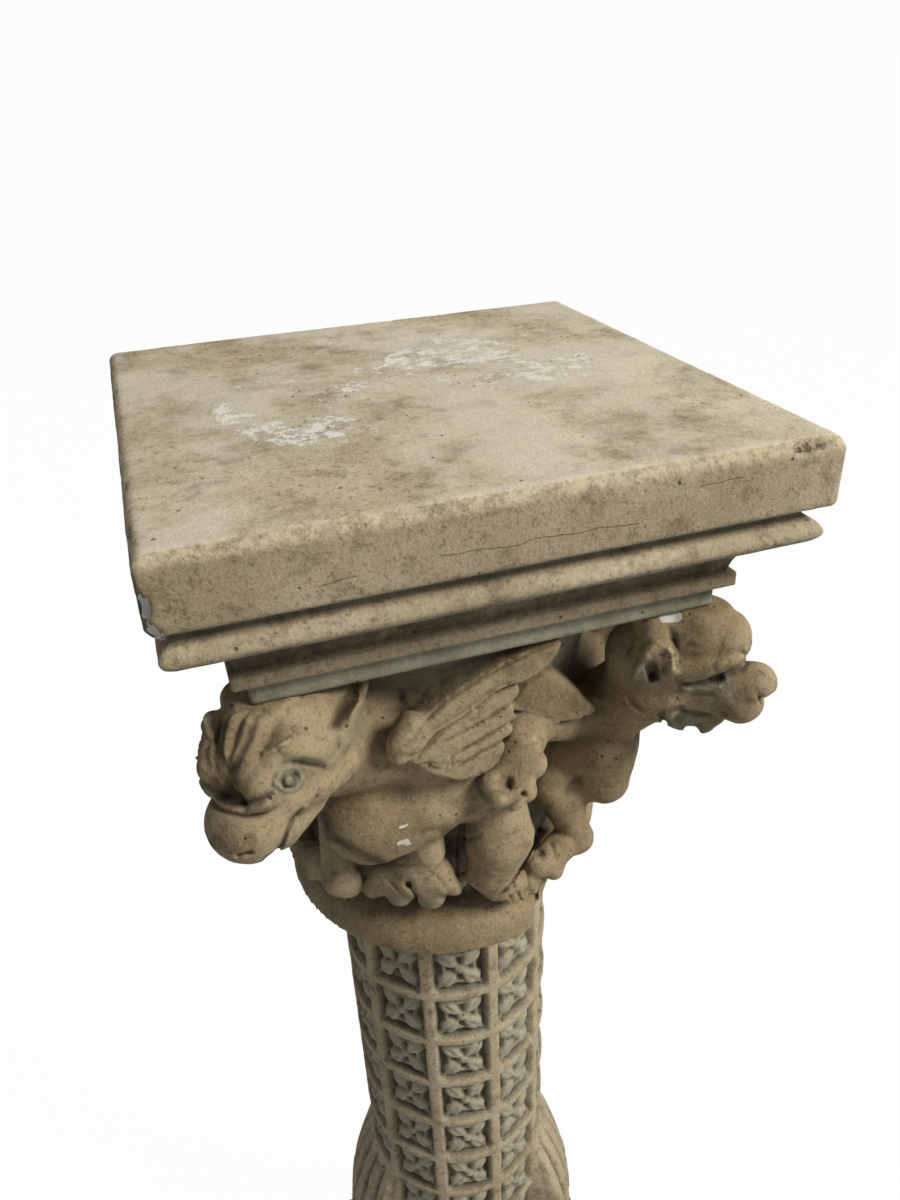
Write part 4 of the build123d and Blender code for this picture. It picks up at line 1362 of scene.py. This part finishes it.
plinth_profile = np.concatenate([
    straight((PLINTH_HALF - PLINTH_CHAMFER, PLINTH_HEIGHT), (PLINTH_HALF, PLINTH_HEIGHT - PLINTH_CHAMFER), 4),
    straight((PLINTH_HALF, PLINTH_HEIGHT - PLINTH_CHAMFER), (PLINTH_HALF, 0.6), 24)[1:],
    [(PLINTH_HALF - 0.6, 0)],
    straight((PLINTH_HALF - 0.6, 0), (60, 0), 4)[1:],
])
points, faces = square_solid(plinth_profile, 2.5, 60, 10)


def paint_plinth(points, normals):
    """Darker towards the bottom, worn and painted patches."""
    rough = fractal(points, 26, 71) - 0.5
    return {"teal": smooth(0.12, 0.3, rough) * 0.4, "dirt": smooth(22, 0, points[:, 2]) * 0.5,
            "wear": smooth(0, 0.3, rough) * 0.6, "white": np.zeros(len(points))}


pieces.append(dress_square("plinth", points, faces, body_look, paint_plinth,
                           [((PLINTH_HALF, -PLINTH_HALF, PLINTH_HEIGHT), (8, 8, 8), 0.6)]))
share = 1.0
segments, shaft_rows, foot_rows = int(320 * share), int(230 * share), int(80 * share)
pieces.append(shaft_piece("shaft", RING_DROP - 14, PANEL_DROP, segments, shaft_rows, shaft_look))
pieces.append(shaft_piece("foot", PANEL_DROP, TOP - FOOT_LEVEL, segments, foot_rows, shaft_look))
pieces += capital(body_look)

for piece in pieces:
    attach(piece, "root")
    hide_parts(NODE)

# Floor, camera and light
FLOOR_GLOW = 0.97
BACKDROP_LEVEL = 0.968


def camera_sees(tree, output, plain, bright, share):
    """Shows the camera this share of the bright shader, and all other rays the plain one."""
    new, link = tree.nodes.new, tree.links.new
    part = new("ShaderNodeMath")
    part.operation = "MULTIPLY"
    part.inputs[1].default_value = share
    link(new("ShaderNodeLightPath").outputs["Is Camera Ray"], part.inputs[0])
    mixed = new("ShaderNodeMixShader")
    link(part.outputs[0], mixed.inputs[0])
    link(plain.outputs[0], mixed.inputs[1])
    link(bright.outputs[0], mixed.inputs[2])
    link(mixed.outputs[0], new(output).inputs[0])


floor_mesh = bpy.data.meshes.new("floor")
floor_mesh.from_pydata([(-40, -40, 0), (40, -40, 0), (40, 40, 0), (-40, 40, 0)], [], [(0, 1, 2, 3)])
floor = bpy.data.objects.new("floor", floor_mesh)
bpy.context.scene.collection.objects.link(floor)
floor_look = bpy.data.materials.new("floor")
floor_look.use_nodes = True
tree = floor_look.node_tree
tree.nodes.clear()
matt = tree.nodes.new("ShaderNodeBsdfDiffuse")
matt.inputs["Color"].default_value = (0.62, 0.61, 0.59, 1)
glow = tree.nodes.new("ShaderNodeEmission")
glow.inputs["Color"].default_value = (1, 1, 1, 1)
camera_sees(tree, "ShaderNodeOutputMaterial", matt, glow, FLOOR_GLOW)
floor_mesh.materials.append(floor_look)

scene = bpy.context.scene
scene.view_settings.view_transform = "Standard"
camera_data = bpy.data.cameras.new("camera")
camera_data.lens = FOCAL / TALL * FILM
camera_data.sensor_width = FILM
camera_data.clip_start = 0.02
camera = bpy.data.objects.new("camera", camera_data)
scene.collection.objects.link(camera)
across, down, ahead = CAMERA_ROWS
turning = Matrix([[across[k], -down[k], -ahead[k]] for k in range(3)]).to_4x4()
where = Vector(CAMERA_PLACE * MM) + Vector((0, 0, HIGH.z))
camera.matrix_world = Matrix.Translation(where) @ turning
scene.camera = camera

world = bpy.data.worlds.new("studio")
scene.world = world
world.use_nodes = True
tree = world.node_tree
tree.nodes.clear()
room = tree.nodes.new("ShaderNodeBackground")
room.inputs["Color"].default_value = (0.93, 0.96, 1.0, 1)
room.inputs["Strength"].default_value = 0.24
backdrop = tree.nodes.new("ShaderNodeBackground")
backdrop.inputs["Color"].default_value = (1, 1, 1, 1)
backdrop.inputs["Strength"].default_value = BACKDROP_LEVEL
camera_sees(tree, "ShaderNodeOutputWorld", room, backdrop, 1.0)


def lamp(name, place, aim, size, power, colour):
    """A round soft lamp of this size in metres and power in watts."""
    data = bpy.data.lights.new(name, "AREA")
    data.shape = "DISK"
    data.size = size
    data.energy = power
    data.color = colour
    thing = bpy.data.objects.new(name, data)
    scene.collection.objects.link(thing)
    thing.location = place
    thing.rotation_euler = (Vector(aim) - Vector(place)).to_track_quat("-Z", "Y").to_euler()


lamp("key", (1.50, -1.42, 2.55), (0, 0, 0.75), 0.9, 78, (1.0, 0.97, 0.92))
lamp("above", (0.2, 0.3, 3.2), (0, 0, 0.9), 1.4, 17, (0.97, 0.98, 1.0))
